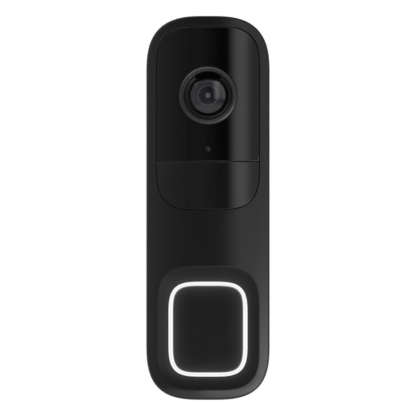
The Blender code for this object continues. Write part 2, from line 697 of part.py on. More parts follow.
def make_main_board():
    back, front = MAIN_BOARD_BACK, MAIN_BOARD_BACK + BOARD_THICKNESS
    outline = rounded(17.6 * MM, 38.0 * MM, 3 * MM, height=-19.2 * MM, exponent=2)
    plate("main_board", [outline], back, front, "circuit_board")
    part = front + GAP
    box("processor_shield", (-13.4 * MM, part, -21 * MM), (1.5 * MM, part + 2 * MM, -3 * MM), "shield_tin")
    box("radio_shield", (3 * MM, part, -20 * MM), (13.4 * MM, part + 1.8 * MM, -5 * MM), "shield_tin")
    antenna = [(part, 15.5 * MM), (part + 3.4 * MM, 15.5 * MM), (part + 3.4 * MM, 18.3 * MM)]
    antenna += [(part + 3.0 * MM, 18.3 * MM), (part + 3.0 * MM, 15.9 * MM), (part, 15.9 * MM)]
    strip("antenna", [antenna], 4.0 * MM, 16.0 * MM, "brass")
    box("battery_connector", (7 * MM, 11.6 * MM, -13 * MM), (13 * MM, back - GAP, -8.5 * MM), "inner_black")


def make_motion_sensor():
    """A round metal can with a flange, and a window sunk in its front."""
    base = MAIN_BOARD_BACK + BOARD_THICKNESS + GAP
    top = base + 4.2 * MM
    wide, narrow, rim = 4.6 * MM, 4.1 * MM, base + 0.6 * MM
    profile = [(0, top), (narrow - 0.2 * MM, top), (narrow, top - 0.3 * MM), (narrow, rim), (wide, rim)]
    profile += [(wide, base), (0, base)]
    can = turned_to_front("motion_sensor", profile, 0, MOTION_SENSOR_HEIGHT, "shield_tin", steps=24)
    z = MOTION_SENSOR_HEIGHT
    low, high = (-2.3 * MM, top - 0.4 * MM, z - 1.9 * MM), (2.3 * MM, top + PAST, z + 1.9 * MM)
    cut(can, box("sensor_window", low, high))


def make_battery():
    low, high = (-14 * MM, 5.9 * MM, -56.4 * MM), (14 * MM, 13.6 * MM, -15.6 * MM)
    cell = box("battery_cell", low, high, "battery_wrap")
    edges = cell.modifiers.new("round_edges", "BEVEL")
    edges.width = 1.6 * MM
    edges.segments = 2
    lead = in_mm((3, 11, -15.2), (3, 11.3, -13.2), (4, 12, -11.5), (5.3, 12.7, -10.8), (6.7, 13, -10.7))
    wire("battery_lead", lead, 0.7 * MM, "silicone")


def make_flex_cables():
    """Two ribbons: camera board to main board, and front board to main board."""
    camera = in_mm((10.5, 28.5), (11.5, 26.9), (12.6, 22.5), (13.3, 18.9), (14.7, 18.0))
    front = in_mm((21.7, 20.2), (20.7, 19.2), (19.6, 14.8), (18.3, 13.0), (16.5, 12.5))
    strip("camera_flex_cable", [ribbon(camera, 0.2 * MM)], -15.4 * MM, -11.5 * MM, "flex")
    strip("front_flex_cable", [ribbon(front, 0.2 * MM)], -14 * MM, -8 * MM, "flex")


def ribbon(line, thickness):
    """Points round a thin strip whose middle follows the line."""
    sides = ([], [])
    for i, (across, up) in enumerate(line):
        before, after = line[max(i - 1, 0)], line[min(i + 1, len(line) - 1)]
        along = Vector((after[0] - before[0], after[1] - before[1])).normalized()
        for side, reach in zip(sides, (thickness / 2, -thickness / 2)):
            side.append((across - along.y * reach, up + along.x * reach))
    return sides[0] + sides[1][::-1]


# ---------------------------------------------------------------- button, light ring and switch


def make_light_ring():
    """A light guide: a deep ring whose front edge shows, with a flange that holds it behind the dish."""
    loops = [ring_outline(), ring_outline(RING_WIDTH)]
    ring = as_mesh(plate("light_ring", loops, RING_BACK, RING_FRONT, "light_guide"))
    flange = [ring_outline(-RING_FLANGE), ring_outline(RING_WIDTH / 2)]
    join(ring, as_mesh(plate("ring_flange", flange, PAN_BACK - GAP - 1.1 * MM, PAN_BACK - GAP)))
    z, half_width, half_height = BUTTON_HEIGHT, RING_HALF_WIDTH - 0.9 * MM, RING_HALF_HEIGHT - 0.9 * MM
    spots = {
        "top": (0, z + half_height), "bottom": (0, z - half_height),
        "left": (-half_width, z), "right": (half_width, z),
    }
    back = MAIN_BOARD_BACK + BOARD_THICKNESS + GAP
    for side, (x, height) in spots.items():
        across, up = (1.5 * MM, 0.8 * MM) if x == 0 else (0.8 * MM, 1.5 * MM)
        low, high = (x - across, back, height - up), (x + across, back + 0.9 * MM, height + up)
        box(f"ring_led_{side}", low, high, "clear_plastic")


def make_button_cap():
    """A flat cap with a skirt, and the stem that pushes the switch."""
    edge = RING_WIDTH + RING_CLEARANCE
    cap = as_mesh(plate("button_cap", [ring_outline(edge)], CAP_SKIRT_BACK, CAP_FRONT, "matte_black"))
    inside = CAP_FRONT - CAP_THICKNESS
    hollow = plate("cap_hollow", [ring_outline(edge + CAP_SKIRT)], CAP_SKIRT_BACK - PAST, inside)
    cut(cap, as_mesh(hollow))
    join(cap, rod("cap_stem", 2.4 * MM, 21.7 * MM, inside + 0.5 * MM, 0, BUTTON_HEIGHT, sides=16))
    return cap


def make_switch():
    back = MAIN_BOARD_BACK + BOARD_THICKNESS + GAP
    z = BUTTON_HEIGHT
    low, high = (-3 * MM, back, z - 3 * MM), (3 * MM, back + 2.4 * MM, z + 3 * MM)
    body = box("button_switch", low, high, "inner_black")
    cut(body, rod("plunger_bore", 2.0 * MM, back + 0.5 * MM, back + 5 * MM, 0, z, sides=20))
    return rod("switch_plunger", 1.7 * MM, 18.1 * MM, 21.35 * MM, 0, z, "light_guide", sides=20)


def make_button_seal():
    """A silicone sheet under the cap's skirt, with a hole for the stem."""
    hole = circle(0, BUTTON_HEIGHT, 3.6 * MM, 20)
    loops = [ring_outline(RING_WIDTH + 0.3 * MM), hole]
    return plate("button_seal", loops, 19.2 * MM, 20.0 * MM, "silicone")


# ---------------------------------------------------------------- speaker, firing down


def make_speaker():
    half_width, back, front = 9.0 * MM, 12.0 * MM, 20.8 * MM
    bottom, top = -64.9 * MM, -60.95 * MM
    frame = box("speaker_frame", (-half_width, back, bottom), (half_width, front, top), "inner_black")
    edge = 1.2 * MM
    low = (-half_width + edge, back + edge, bottom - PAST)
    high = (half_width - edge, front - edge, top - 0.8 * MM)
    cut(frame, box("speaker_hollow", low, high))
    middle = (back + front) / 2
    low = (-4.4 * MM, middle - 2.2 * MM, -63.3 * MM)
    high = (4.4 * MM, middle + 2.2 * MM, -62.1 * MM)
    box("speaker_magnet", low, high, "magnet")
    outer = rectangle(-half_width, half_width, back, front)
    inner = rectangle(-half_width + edge, half_width - edge, back + edge, front - edge)
    slab("speaker_gasket", [outer, inner], -65.7 * MM, -65.2 * MM, "foam")

    cone = rectangle(-half_width + 1.5 * MM, half_width - 1.5 * MM, back + 1.5 * MM, front - 1.5 * MM)
    diaphragm = slab("speaker_diaphragm", [cone], -64.6 * MM, -64.2 * MM, "silicone")
    coil_loops = [
        rectangle(-reach_x, reach_x, middle - reach_y, middle + reach_y)
        for reach_x, reach_y in ((5.6 * MM, 3.2 * MM), (4.9 * MM, 2.6 * MM))
    ]
    coil = slab("speaker_voice_coil", coil_loops, -63.9 * MM, -62.4 * MM, "copper")
    carry(axis_empty("speaker_axis", at(0, middle, -64.4 * MM)), diaphragm, coil)


# ---------------------------------------------------------------- rear: terminals, tamper switch, lock


def make_terminals():
    low, high = (-9 * MM, 6.4 * MM, 15.5 * MM), (9 * MM, 10.2 * MM, 24.5 * MM)
    block = box("terminal_block", low, high, "inner_black")
    for side, x in (("left", -4.6 * MM), ("right", 4.6 * MM)):
        cut(block, rod(f"terminal_hole_{side}", 1.75 * MM, 5 * MM, 9.6 * MM, x, 20 * MM, sides=16))
        profile = in_mm((0, 9.3), (1.45, 9.3), (1.45, 6.1), (2.9, 6.1), (2.9, 4.6), (2.5, 4.2), (0, 4.2))
        screw = turned_to_front(f"terminal_screw_{side}", profile, x, 20 * MM, "brass", steps=20)
        slot_low, slot_high = (x - 4 * MM, 3 * MM, 19.6 * MM), (x + 4 * MM, 5.0 * MM, 20.4 * MM)
        cut(screw, box(f"driver_slot_{side}", slot_low, slot_high))


def make_tamper_switch():
    """A plunger that the wall plate holds in, behind a sprung switch on the main board."""
    x, z = TAMPER_X, TAMPER_HEIGHT
    profile = in_mm((0, 13.0), (0.8, 13.0), (0.8, 12.4), (2.9, 12.4), (2.9, 11.7), (1.8, 11.7))
    profile += in_mm((1.8, 2.9), (1.5, 2.7), (0, 2.7))
    plunger = turned_to_front("tamper_plunger", profile, x, z, "inner_black", steps=20)
    carry(axis_empty("tamper_axis", at(x, 2.7 * MM, z)), plunger)
    low, high = (x - 2.4 * MM, 13.3 * MM, z - 2.4 * MM), (x + 2.4 * MM, MAIN_BOARD_BACK - GAP, z + 2.4 * MM)
    box("tamper_switch", low, high, "inner_black")


def make_lock_screw():
    """The security screw and the seal under its head, both on one upright axis."""
    position = at(0, LOCK_DEPTH, 0)
    profile = in_mm((0, -62.4), (1.2, -62.4), (1.5, -62.8), (1.5, -66.9), (2.5, -66.9), (2.5, -68.4))
    profile += in_mm((2.2, -68.7), (0, -68.7))
    screw = turned("security_screw", profile, position, UPRIGHT, "steel", steps=20)
    cut(screw, post("lock_socket", 1.25 * MM, -70 * MM, -67.6 * MM, 0, LOCK_DEPTH, sides=6))
    seal = in_mm((2.4, -65.95), (2.65, -66.25), (2.4, -66.6), (1.9, -66.6), (1.8, -66.25), (1.9, -65.95))
    ring = turned("security_screw_seal", seal, position, UPRIGHT, "silicone", steps=20, closed=True)
    carry(axis_empty("security_screw_axis", at(0, LOCK_DEPTH, -68.7 * MM)), screw, ring)


# ---------------------------------------------------------------- wall plate


def make_wall_plate():
    """The plate that stays on the wall: a cable opening, two screw slots, a tongue and the lock's tab."""
    opening = rounded(11 * MM, 12.5 * MM, 4 * MM, height=16.5 * MM, exponent=2)
    upper_slot = slot(0, 48 * MM, 4.6 * MM, 10 * MM)
    lower_slot = slot(0, -40 * MM, 4.6 * MM, 10 * MM, upright=False)
    loops = [body_outline(PLATE_INSET), opening, upper_slot, lower_slot]
    base = as_mesh(plate("wall_plate", loops, 0, PLATE_THICKNESS, "matte_black"))
    inside = PLATE_THICKNESS / 2
    join(base, box("tongue", (-7 * MM, inside, 59 * MM), (7 * MM, 7.4 * MM, 61.5 * MM)))
    join(base, box("lock_tab", (-4 * MM, inside, -61.6 * MM), (4 * MM, 8.2 * MM, -59.2 * MM)))
    return cut(base, post("lock_tab_hole", 1.8 * MM, -64 * MM, -57 * MM, 0, LOCK_DEPTH, sides=16))


# ---------------------------------------------------------------- assembly


def main():
    make_wall_plate()
    make_rear_cover()
    make_front_housing()
    make_housing_gasket()
    make_housing_screws()
    make_camera_panel()
    make_motion_window()
    make_camera_bezel()
    make_lens()
    make_lens_holder()
    make_filter_shuttle()
    make_filter_lever()
    make_filter_motor()
    make_camera_electronics()
    make_front_board()
    make_main_board()
    make_motion_sensor()
    make_battery()
    make_flex_cables()
    make_light_ring()
    cap = make_button_cap()
    plunger = make_switch()
    carry(axis_empty("button_axis", at(0, CAP_FRONT, BUTTON_HEIGHT)), cap, plunger)
    make_button_seal()
    make_speaker()
    make_terminals()
    make_tamper_switch()
    make_lock_screw()


main()
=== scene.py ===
"""The looks of a wall-mounted video doorbell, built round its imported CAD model.

Shapes are worked out in millimetres as (x, depth, height), where depth is the distance in front of the
wall. Skin.build turns them into metres with Y = -depth.
"""

import json
import math
from collections import namedtuple

import bmesh
import bpy
import numpy as np
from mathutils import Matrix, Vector
from mathutils.geometry import delaunay_2d_cdt


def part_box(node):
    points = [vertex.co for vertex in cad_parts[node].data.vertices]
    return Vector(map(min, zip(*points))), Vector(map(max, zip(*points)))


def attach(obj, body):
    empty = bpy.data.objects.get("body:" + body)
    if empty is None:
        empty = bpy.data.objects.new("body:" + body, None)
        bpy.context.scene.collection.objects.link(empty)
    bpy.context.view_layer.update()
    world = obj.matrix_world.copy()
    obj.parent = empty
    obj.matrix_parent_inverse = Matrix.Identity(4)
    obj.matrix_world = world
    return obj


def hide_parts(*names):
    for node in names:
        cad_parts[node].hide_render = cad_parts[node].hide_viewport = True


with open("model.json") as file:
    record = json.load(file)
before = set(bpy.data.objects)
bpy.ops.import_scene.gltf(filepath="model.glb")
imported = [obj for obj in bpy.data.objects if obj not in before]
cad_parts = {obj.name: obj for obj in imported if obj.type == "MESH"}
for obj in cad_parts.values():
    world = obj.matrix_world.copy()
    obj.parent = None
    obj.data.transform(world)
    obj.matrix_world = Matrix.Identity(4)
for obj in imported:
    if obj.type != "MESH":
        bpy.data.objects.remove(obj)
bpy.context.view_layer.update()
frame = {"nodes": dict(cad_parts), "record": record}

MM = 0.001
SMOOTH_DEGREES = 35
WELD, SLIVER = 1e-6, 1e-7  # metres

# ---------------- places, from the CAD nodes

Place = namedtuple("Place", "left right back front bottom top")


def place(node):
    """The node's box in millimetres."""
    low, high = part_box(node)
    return Place(low.x / MM, high.x / MM, -high.y / MM, -low.y / MM, low.z / MM, high.z / MM)


HOUSING = place("front_housing")
COVER = place("rear_cover")
PLATE = place("wall_plate")
PANEL_UPPER = place("camera_panel")
PANEL_LOWER = place("motion_window")
RING = place("light_ring")
CAP = place("button_cap")
BEZEL = place("camera_bezel")
LENS = place("lens_front_element")
BARREL = place("lens_barrel")

# ---------------- outlines

CORNER_EXPONENT = 2.9
BODY_EXPONENTS = (2.8, 3.0)  # upper corners, lower corners
CORNER_STEPS = 20
STRAIGHT_STEP = 3.0


def quarter(exponent, steps):
    """Points and outward directions of a quarter of a unit superellipse, evenly spaced along it."""
    angle = np.linspace(0, math.pi / 2, 400)
    across, up = np.cos(angle) ** (2 / exponent), np.sin(angle) ** (2 / exponent)
    length = np.concatenate([[0], np.cumsum(np.hypot(np.diff(across), np.diff(up)))])
    even = np.linspace(0, length[-1], steps + 1)
    across, up = np.interp(even, length, across), np.interp(even, length, up)
    outward = np.stack([across ** (exponent - 1), up ** (exponent - 1)], axis=1)
    return np.stack([across, up], axis=1), outward / np.linalg.norm(outward, axis=1)[:, None]


class Outline:
    """An upright rectangle with superellipse corners, which can be drawn at any inset."""

    def __init__(
        self, half_width, half_height, corner, height=0.0, exponents=(CORNER_EXPONENT,) * 2, straights=None
    ):
        self.middle = np.array([0.0, height])
        self.half, self.exponent = (half_width, half_height), exponents[0]
        wide, tall = half_width - corner, half_height - corner
        centres, reaches, outwards = [], [], []
        for turn, (side, rise) in enumerate(((1, 1), (-1, 1), (-1, -1), (1, -1))):
            reach, outward = quarter(exponents[0 if rise > 0 else 1], CORNER_STEPS)
            order = slice(None) if turn % 2 == 0 else slice(None, None, -1)
            mirror = np.array([side, rise])
            centres.append(np.tile(mirror * (wide, tall), (len(reach), 1)))
            reaches.append(reach[order] * mirror)
            outwards.append(outward[order] * mirror)
            span = 2 * (wide if turn % 2 == 0 else tall)
            steps = straights[turn % 2] if straights else int(span / STRAIGHT_STEP)
            share = np.arange(1, steps + 1)[:, None] / (steps + 1)
            last = centres[-1][-1]
            next_centre = last * ((-1, 1) if turn % 2 == 0 else (1, -1))
            centres.append(last + share * (next_centre - last))
            reaches.append(np.tile(reaches[-1][-1], (steps, 1)))
            outwards.append(np.tile(outwards[-1][-1], (steps, 1)))
        self.centres = np.concatenate(centres)
        self.reaches = np.concatenate(reaches)
        self.outward = np.concatenate(outwards)
        self.corner = corner

    def loop(self, inset=0.0):
        return self.middle + self.centres + self.reaches * (self.corner - inset)


def all_round(steps):
    """Evenly spaced directions round a circle."""
    turn = 2 * math.pi * np.arange(steps) / steps
    return np.stack([np.cos(turn), np.sin(turn)], axis=1)


class Circle(Outline):
    """A circle on the doorbell's middle line."""

    def __init__(self, radius, height, steps):
        self.outward = self.reaches = all_round(steps)
        self.middle, self.centres, self.corner = np.array([0.0, height]), 0.0, radius


class Offset:
    """Another outline, drawn a given distance further in."""

    def __init__(self, outline, inset):
        self.base, self.inset, self.outward = outline, inset, outline.outward

    def loop(self, inset=0.0):
        return self.base.loop(self.inset + inset)


class Slot(Outline):
    """A slot with round ends."""

    def __init__(self, height, width, length, upright=True):
        self.outward = self.reaches = all_round(48)
        along = 1 if upright else 0
        self.centres = np.zeros_like(self.outward)
        side = np.where(self.outward[:, along] > 1e-9, 1.0, -1.0)
        self.centres[:, along] = side * (length - width) / 2
        self.middle, self.corner = np.array([0.0, height]), width / 2


class CutOutline:
    """The part of an outline above or below a height, closed along a straight line there."""

    MARGIN = 0.6

    def __init__(self, whole, height, above):
        self.whole, self.height, self.sign = whole, height, 1 if above else -1
        points = whole.loop()
        kept = np.flatnonzero(self.sign * (points[:, 1] - height) > self.MARGIN)
        # The kept stretch runs on through the end of the list, so it is turned to start after the gap.
        gap = np.flatnonzero(np.diff(kept) > 1)
        self.kept = np.roll(kept, -(gap[0] + 1)) if len(gap) else kept
        first, last = points[self.kept[0]], points[self.kept[-1]]
        self.steps = int(abs(first[0] - last[0]) / STRAIGHT_STEP)
        along = np.tile([0.0, -self.sign], (self.steps + 2, 1))
        self.outward = np.concatenate([whole.outward[self.kept], along])

    def loop(self, inset=0.0):
        points = self.whole.loop(inset)[self.kept]
        height = self.height + self.sign * inset
        start, end = points[-1][0], points[0][0]
        share = np.linspace(0, 1, self.steps + 2)
        closing = np.stack([start + share * (end - start), np.full(len(share), height)], axis=1)
        return np.concatenate([points, closing])


# ---------------- surfaces


class Bow:
    """The front face, or a surface a given distance behind it: bowed about an upright axis, with its
    lower end rolled off a little."""

    RADIUS = 60.0
    ROLL_START, ROLL_DEPTH = -61.9, 1.05

    def __init__(self, behind=0.0, rolled=True):
        self.reach, self.roll = self.RADIUS - behind, self.ROLL_DEPTH if rolled else 0.0
        self.span = self.ROLL_START - HOUSING.bottom

    def past(self, points):
        """How far down the rolled end each point is, from 0 at its start to 1 at the foot."""
        return np.maximum(self.ROLL_START - points[:, 1], 0) / self.span

    def depth(self, points):
        bowed = HOUSING.front - self.RADIUS + np.sqrt(self.reach**2 - points[:, 0] ** 2)
        return bowed - self.roll * self.past(points) ** 2

    def normal(self, points):
        x = points[:, 0]
        slope_z = -2 * self.roll * self.past(points) / self.span
        found = np.stack([x / np.sqrt(self.reach**2 - x**2), np.ones(len(x)), slope_z], axis=1)
        return found / np.linalg.norm(found, axis=1)[:, None]


class Flat:
    """A level surface at one depth, facing the front or the back."""

    def __init__(self, level, facing=1):
        self.level, self.facing = level, facing

    def depth(self, points):
        return np.full(len(points), float(self.level))

    def normal(self, points):
        return np.tile([0.0, float(self.facing), 0.0], (len(points), 1))


# ---------------- closed skins


def inside(points, loop):
    """Which points lie inside a closed loop."""
    x, z = points[:, 0][:, None], points[:, 1][:, None]
    a, b = loop, np.roll(loop, -1, axis=0)
    crosses = (a[:, 1] > z) != (b[:, 1] > z)
    rise = np.where(b[:, 1] == a[:, 1], 1.0, b[:, 1] - a[:, 1])
    where = a[:, 0] + (z - a[:, 1]) * (b[:, 0] - a[:, 0]) / rise
    return (crosses & (x < where)).sum(axis=1) % 2 == 1


def distance(points, loop):
    """How far each point is from a closed loop."""
    a, b = loop, np.roll(loop, -1, axis=0)
    along = b - a
    share = ((points[:, None] - a) * along).sum(axis=2) / np.maximum((along**2).sum(axis=1), 1e-12)
    nearest = a + np.clip(share, 0, 1)[..., None] * along
    return np.linalg.norm(points[:, None] - nearest, axis=2).min(axis=1)


def sideways(outline):
    """The outline's outward directions, as (x, depth, height)."""
    return np.insert(outline.outward, 1, 0.0, axis=1)


CLEAR_OF_LOOPS = 0.35  # the least distance of an inner point from a loop, as a share of the spacing


class Skin:
    """A closed surface made from rings of points, strips between the rings and filled areas."""

    def __init__(self):
        self.points, self.normals, self.faces = [], [], []

    def ring(self, loop, depth, normals=None):
        """Adds points and returns their numbers. Depth is one level or a value for each point."""
        start = len(self.points)
        depths = np.broadcast_to(depth, len(loop))
        self.points += [(x, level, z) for (x, z), level in zip(loop, depths)]
        self.normals += [(0.0, 0.0, 0.0)] * len(loop) if normals is None else [tuple(n) for n in normals]
        return list(range(start, start + len(loop)))

    def draw(self, outline, inset, depth):
        """A ring along an outline, at one level or on a surface."""
        loop = outline.loop(inset)
        return self.ring(loop, depth if np.isscalar(depth) else depth.depth(loop))

    def wall(self, outline, inset, depth):
        """A ring on an upright wall, with the wall's own normals."""
        return self.ring(outline.loop(inset), depth, sideways(outline))

    def strip(self, first, second):
        for i, j in zip(range(len(first)), list(range(1, len(first))) + [0]):
            self.faces.append((first[i], first[j], second[j], second[i]))

    def strips(self, rings):
        for first, second in zip(rings, rings[1:]):
            self.strip(first, second)

    def edge(self, outline, inset, surface, radius, steps=5, hole=False):
        """A rounded edge from a wall to a surface, as rings. A hole's edge curves away from the hole."""
        side = -1 if hole else 1
        facing = getattr(surface, "facing", 1)
        rings = []
        for phi in np.linspace(0, math.pi / 2, steps + 1):
            loop = outline.loop(inset + side * radius * (1 - math.cos(phi)))
            normal = side * math.cos(phi) * sideways(outline) + math.sin(phi) * surface.normal(loop)
            depth = surface.depth(loop) - facing * radius * (1 - math.sin(phi))
            rings.append(self.ring(loop, depth, normal / np.linalg.norm(normal, axis=1)[:, None]))
        return rings

    def fill(self, outer, holes, surface, spacing=None, exact=True):
        """Triangles between one ring and others inside it, on a surface that is finely enough divided."""
        rings = [outer, *holes]
        loops = [np.array([(self.points[i][0], self.points[i][2]) for i in ring]) for ring in rings]
        extra = np.zeros((0, 2))
        if spacing:
            low, high = loops[0].min(axis=0), loops[0].max(axis=0)
            counts = np.maximum(np.ceil((high - low) / spacing).astype(int), 1)
            axes = [np.linspace(l, h, n + 1)[1:-1] for l, h, n in zip(low, high, counts)]
            extra = np.stack([part.ravel() for part in np.meshgrid(*axes)], axis=1)
            clear = CLEAR_OF_LOOPS * min(spacing)
            kept = inside(extra, loops[0]) & (distance(extra, loops[0]) > clear)
            for loop in loops[1:]:
                kept &= ~inside(extra, loop) & (distance(extra, loop) > clear)
            extra = extra[kept]
        numbers = [i for ring in rings for i in ring]
        numbers += self.ring(extra, surface.depth(extra), surface.normal(extra) if exact else None)
        flat = np.concatenate([*loops, extra])
        edges, start = [], 0
        for loop in loops:
            edges += [(start + i, start + (i + 1) % len(loop)) for i in range(len(loop))]
            start += len(loop)
        found = delaunay_2d_cdt([Vector(p) for p in flat], edges, [], 0, 1e-7, True)
        spots = np.array([tuple(p) for p in found[0]])
        triangles = np.array(found[2])
        middles = spots[triangles].mean(axis=1)
        kept = inside(middles, loops[0])
        for loop in loops[1:]:
            kept &= ~inside(middles, loop)
        origin = [numbers[parts[0]] for parts in found[3]]
        self.faces += [tuple(origin[i] for i in triangle) for triangle in triangles[kept]]

    def build(self, name):
        """The mesh object, in metres."""
        mesh = bpy.data.meshes.new(name)
        mesh.from_pydata([(x * MM, -depth * MM, z * MM) for x, depth, z in self.points], [], self.faces)
        clean(mesh)
        return add_object(name, mesh)

    def set_normals(self, obj):
        """Smooth shading with the exact normals of this skin's own points, wherever they are known."""
        known = {}
        for spot, (nx, ny, nz) in zip(self.points, self.normals):
            if nx or ny or nz:
                known[tuple(round(level, 3) for level in spot)] = (nx, -ny, nz)
        shade(obj)
        spots = [(v.co.x, -v.co.y, v.co.z) for v in obj.data.vertices]
        keys = [tuple(round(level / MM, 3) for level in spot) for spot in spots]
        obj.data.normals_split_custom_set_from_vertices([known.get(key, (0, 0, 0)) for key in keys])
        return obj


def add_object(name, data):
    """A new object in the scene. A bmesh is made into a mesh and freed."""
    if isinstance(data, bmesh.types.BMesh):
        shape, data = data, bpy.data.meshes.new(name)
        shape.to_mesh(data)
        shape.free()
    obj = bpy.data.objects.new(name, data)
    bpy.context.scene.collection.objects.link(obj)
    return obj


def clean(mesh):
    shape = bmesh.new()
    shape.from_mesh(mesh)
    bmesh.ops.remove_doubles(shape, verts=shape.verts, dist=WELD)
    bmesh.ops.dissolve_degenerate(shape, edges=shape.edges, dist=SLIVER)
    bmesh.ops.recalc_face_normals(shape, faces=shape.faces)
    shape.to_mesh(mesh)
    shape.free()


def shade(obj, degrees=SMOOTH_DEGREES):
    obj.data.shade_smooth()
    obj.data.set_sharp_from_angle(angle=math.radians(degrees))
    return obj


def boolean(target, tools, operation):
    """Cuts from the target or joins to it, and removes the tools."""
    for tool in tools:
        step = target.modifiers.new(tool.name, "BOOLEAN")
        step.operation, step.object, step.solver = operation, tool, "EXACT"
    graph = bpy.context.evaluated_depsgraph_get()
    bpy.context.view_layer.update()
    mesh = bpy.data.meshes.new_from_object(target.evaluated_get(graph))
    target.modifiers.clear()
    target.data = mesh
    for tool in tools:
        bpy.data.objects.remove(tool)
    clean(mesh)


# ---------------- simple solids


HOLE_EDGE = 0.07


def plate(name, outer, holes, front, back, front_edge, back_edge=0.0, spacing=None, steps=5):
    """A plate between two surfaces, with rounded edges in front and, if asked, behind."""
    skin = Skin()
    fronts, backs = [], []
    for number, outline in enumerate([outer, *holes]):
        hole = number > 0
        rings = skin.edge(outline, 0, front, HOLE_EDGE if hole else front_edge, steps, hole)
        if back_edge:
            behind = skin.edge(outline, 0, back, back_edge, 3, hole)
        else:
            behind = [skin.draw(outline, 0, back)]
        skin.strips([*behind[::-1], *rings])
        fronts.append(rings[-1])
        backs.append(behind[-1])
    skin.fill(fronts[0], fronts[1:], front, spacing)
    skin.fill(backs[0], backs[1:], back, spacing, exact=False)
    return skin, skin.build(name)


def box(name, left, right, back, front, bottom, top, bevel=0.0):
    """A block with softened edges."""
    shape = bmesh.new()
    bmesh.ops.create_cube(shape, size=MM)
    bmesh.ops.scale(shape, vec=(right - left, front - back, top - bottom), verts=shape.verts)
    middle = Vector(((left + right) / 2, -(back + front) / 2, (bottom + top) / 2)) * MM
    bmesh.ops.translate(shape, vec=middle, verts=shape.verts)
    if bevel:
        bmesh.ops.bevel(shape, geom=shape.edges, offset=bevel * MM, segments=2, affect="EDGES", profile=0.5)
    return add_object(name, shape)


def turned(name, profile, x, height, steps=96, closed=False, upright=False, depth=0.0):
    """A profile of (radius, level) swept round an axis: towards the front, or upright at a depth."""
    shape = bmesh.new()
    rings = []
    for radius, level in profile:
        ring = []
        for turn in range(steps if radius > 1e-6 else 1):
            angle = 2 * math.pi * turn / steps
            across, along = radius * math.cos(angle), radius * math.sin(angle)
            if upright:
                spot = (x + across, -(depth + along), level)
            else:
                spot = (x + across, -level, height + along)
            ring.append(shape.verts.new(Vector(spot) * MM))
        rings.append(ring)
    pairs = list(zip(rings, rings[1:])) + ([(rings[-1], rings[0])] if closed else [])
    for first, second in pairs:
        for i in range(steps):
            corners = [first[i % len(first)], first[(i + 1) % len(first)]]
            corners += [second[(i + 1) % len(second)], second[i % len(second)]]
            unique = list(dict.fromkeys(corners))
            if len(unique) > 2:
                shape.faces.new(unique)
    bmesh.ops.recalc_face_normals(shape, faces=shape.faces)
    return add_object(name, shape)


def arc(radius, level, across, along, end, steps):
    """Points of a rounded corner in a turned profile, from straight outward to an angle in degrees."""
    angles = np.radians(np.linspace(0, end, steps + 1))
    return [(radius + across * math.cos(a), level + along * math.sin(a)) for a in angles]


# ---------------- outlines of this doorbell

BODY = Outline(HOUSING.right, HOUSING.top, 20.6, exponents=BODY_EXPONENTS)
SEAM = 0.2
PANEL = Outline(
    PANEL_UPPER.right + SEAM,
    (PANEL_UPPER.top - PANEL_LOWER.bottom) / 2 + SEAM,
    14.7,
    (PANEL_UPPER.top + PANEL_LOWER.bottom) / 2,
)
BUTTON_HEIGHT = (CAP.top + CAP.bottom) / 2
BUTTON_STRAIGHTS = (2, 5)
DISH = Outline(18.35, 22.15, 14.5, BUTTON_HEIGHT + 0.3, straights=BUTTON_STRAIGHTS)
RING_FLANGE = 1.2
RING_WIDTH = 1.3  # a little more beside the button, and a little less above and below it
LIGHT_HEIGHT = BUTTON_HEIGHT - 0.2
LIGHT_HALF = (RING.right - RING_FLANGE - 0.13, (RING.top - RING.bottom) / 2 - RING_FLANGE - 0.05)
BUTTON_HALF = (LIGHT_HALF[0] - RING_WIDTH - 0.07, LIGHT_HALF[1] - RING_WIDTH + 0.08)
LIGHT = Outline(*LIGHT_HALF, 13.0, LIGHT_HEIGHT, (3.7, 3.7), BUTTON_STRAIGHTS)
BUTTON = Outline(*BUTTON_HALF, 11.5, LIGHT_HEIGHT, (4.1, 4.1), BUTTON_STRAIGHTS)
RING_CLEARANCE = 0.15
FRONT = Bow()
WALL, FRONT_SKIN = 2.4, 3.2
LENS_HEIGHT = (LENS.top + LENS.bottom) / 2
Spot = namedtuple("Spot", "x height")


def middle(node):
    """The middle of a node, seen from the front."""
    found = place(node)
    return Spot((found.left + found.right) / 2, (found.bottom + found.top) / 2)


TAMPER = middle("tamper_plunger")
HOUSING_SCREWS = [middle(node) for node in frame["nodes"] if node.startswith("housing_screw_")]
LOCK = place("security_screw")
LOCK_DEPTH = (LOCK.back + LOCK.front) / 2
MICROPHONE, STATUS = middle("microphone_boot"), middle("status_light_pipe")
PIPE = place("status_light_pipe")

# ---------------- casing

EDGE_RADIUS = 0.75


def prism(name, corners, along):
    """A flat loop of (x, depth, height) points swept along a vector."""
    skin = Skin()
    first = np.array(corners, float)
    rings = []
    for points in (first, first + np.array(along, float)):
        rings.append(skin.ring(points[:, [0, 2]], points[:, 1]))
    skin.strip(*rings)
    skin.faces += [tuple(rings[0]), tuple(rings[1][::-1])]
    return skin.build(name)


def cylinder(radius, start, end):
    return [(0, end), (radius, end), (radius, start), (0, start)]


def rod(name, radius, back, front, x, height):
    return turned(name, cylinder(radius, back, front), x, height, 40)


def post(name, radius, bottom, top, depth):
    return turned(name, cylinder(radius, bottom, top), 0, 0, 40, upright=True, depth=depth)


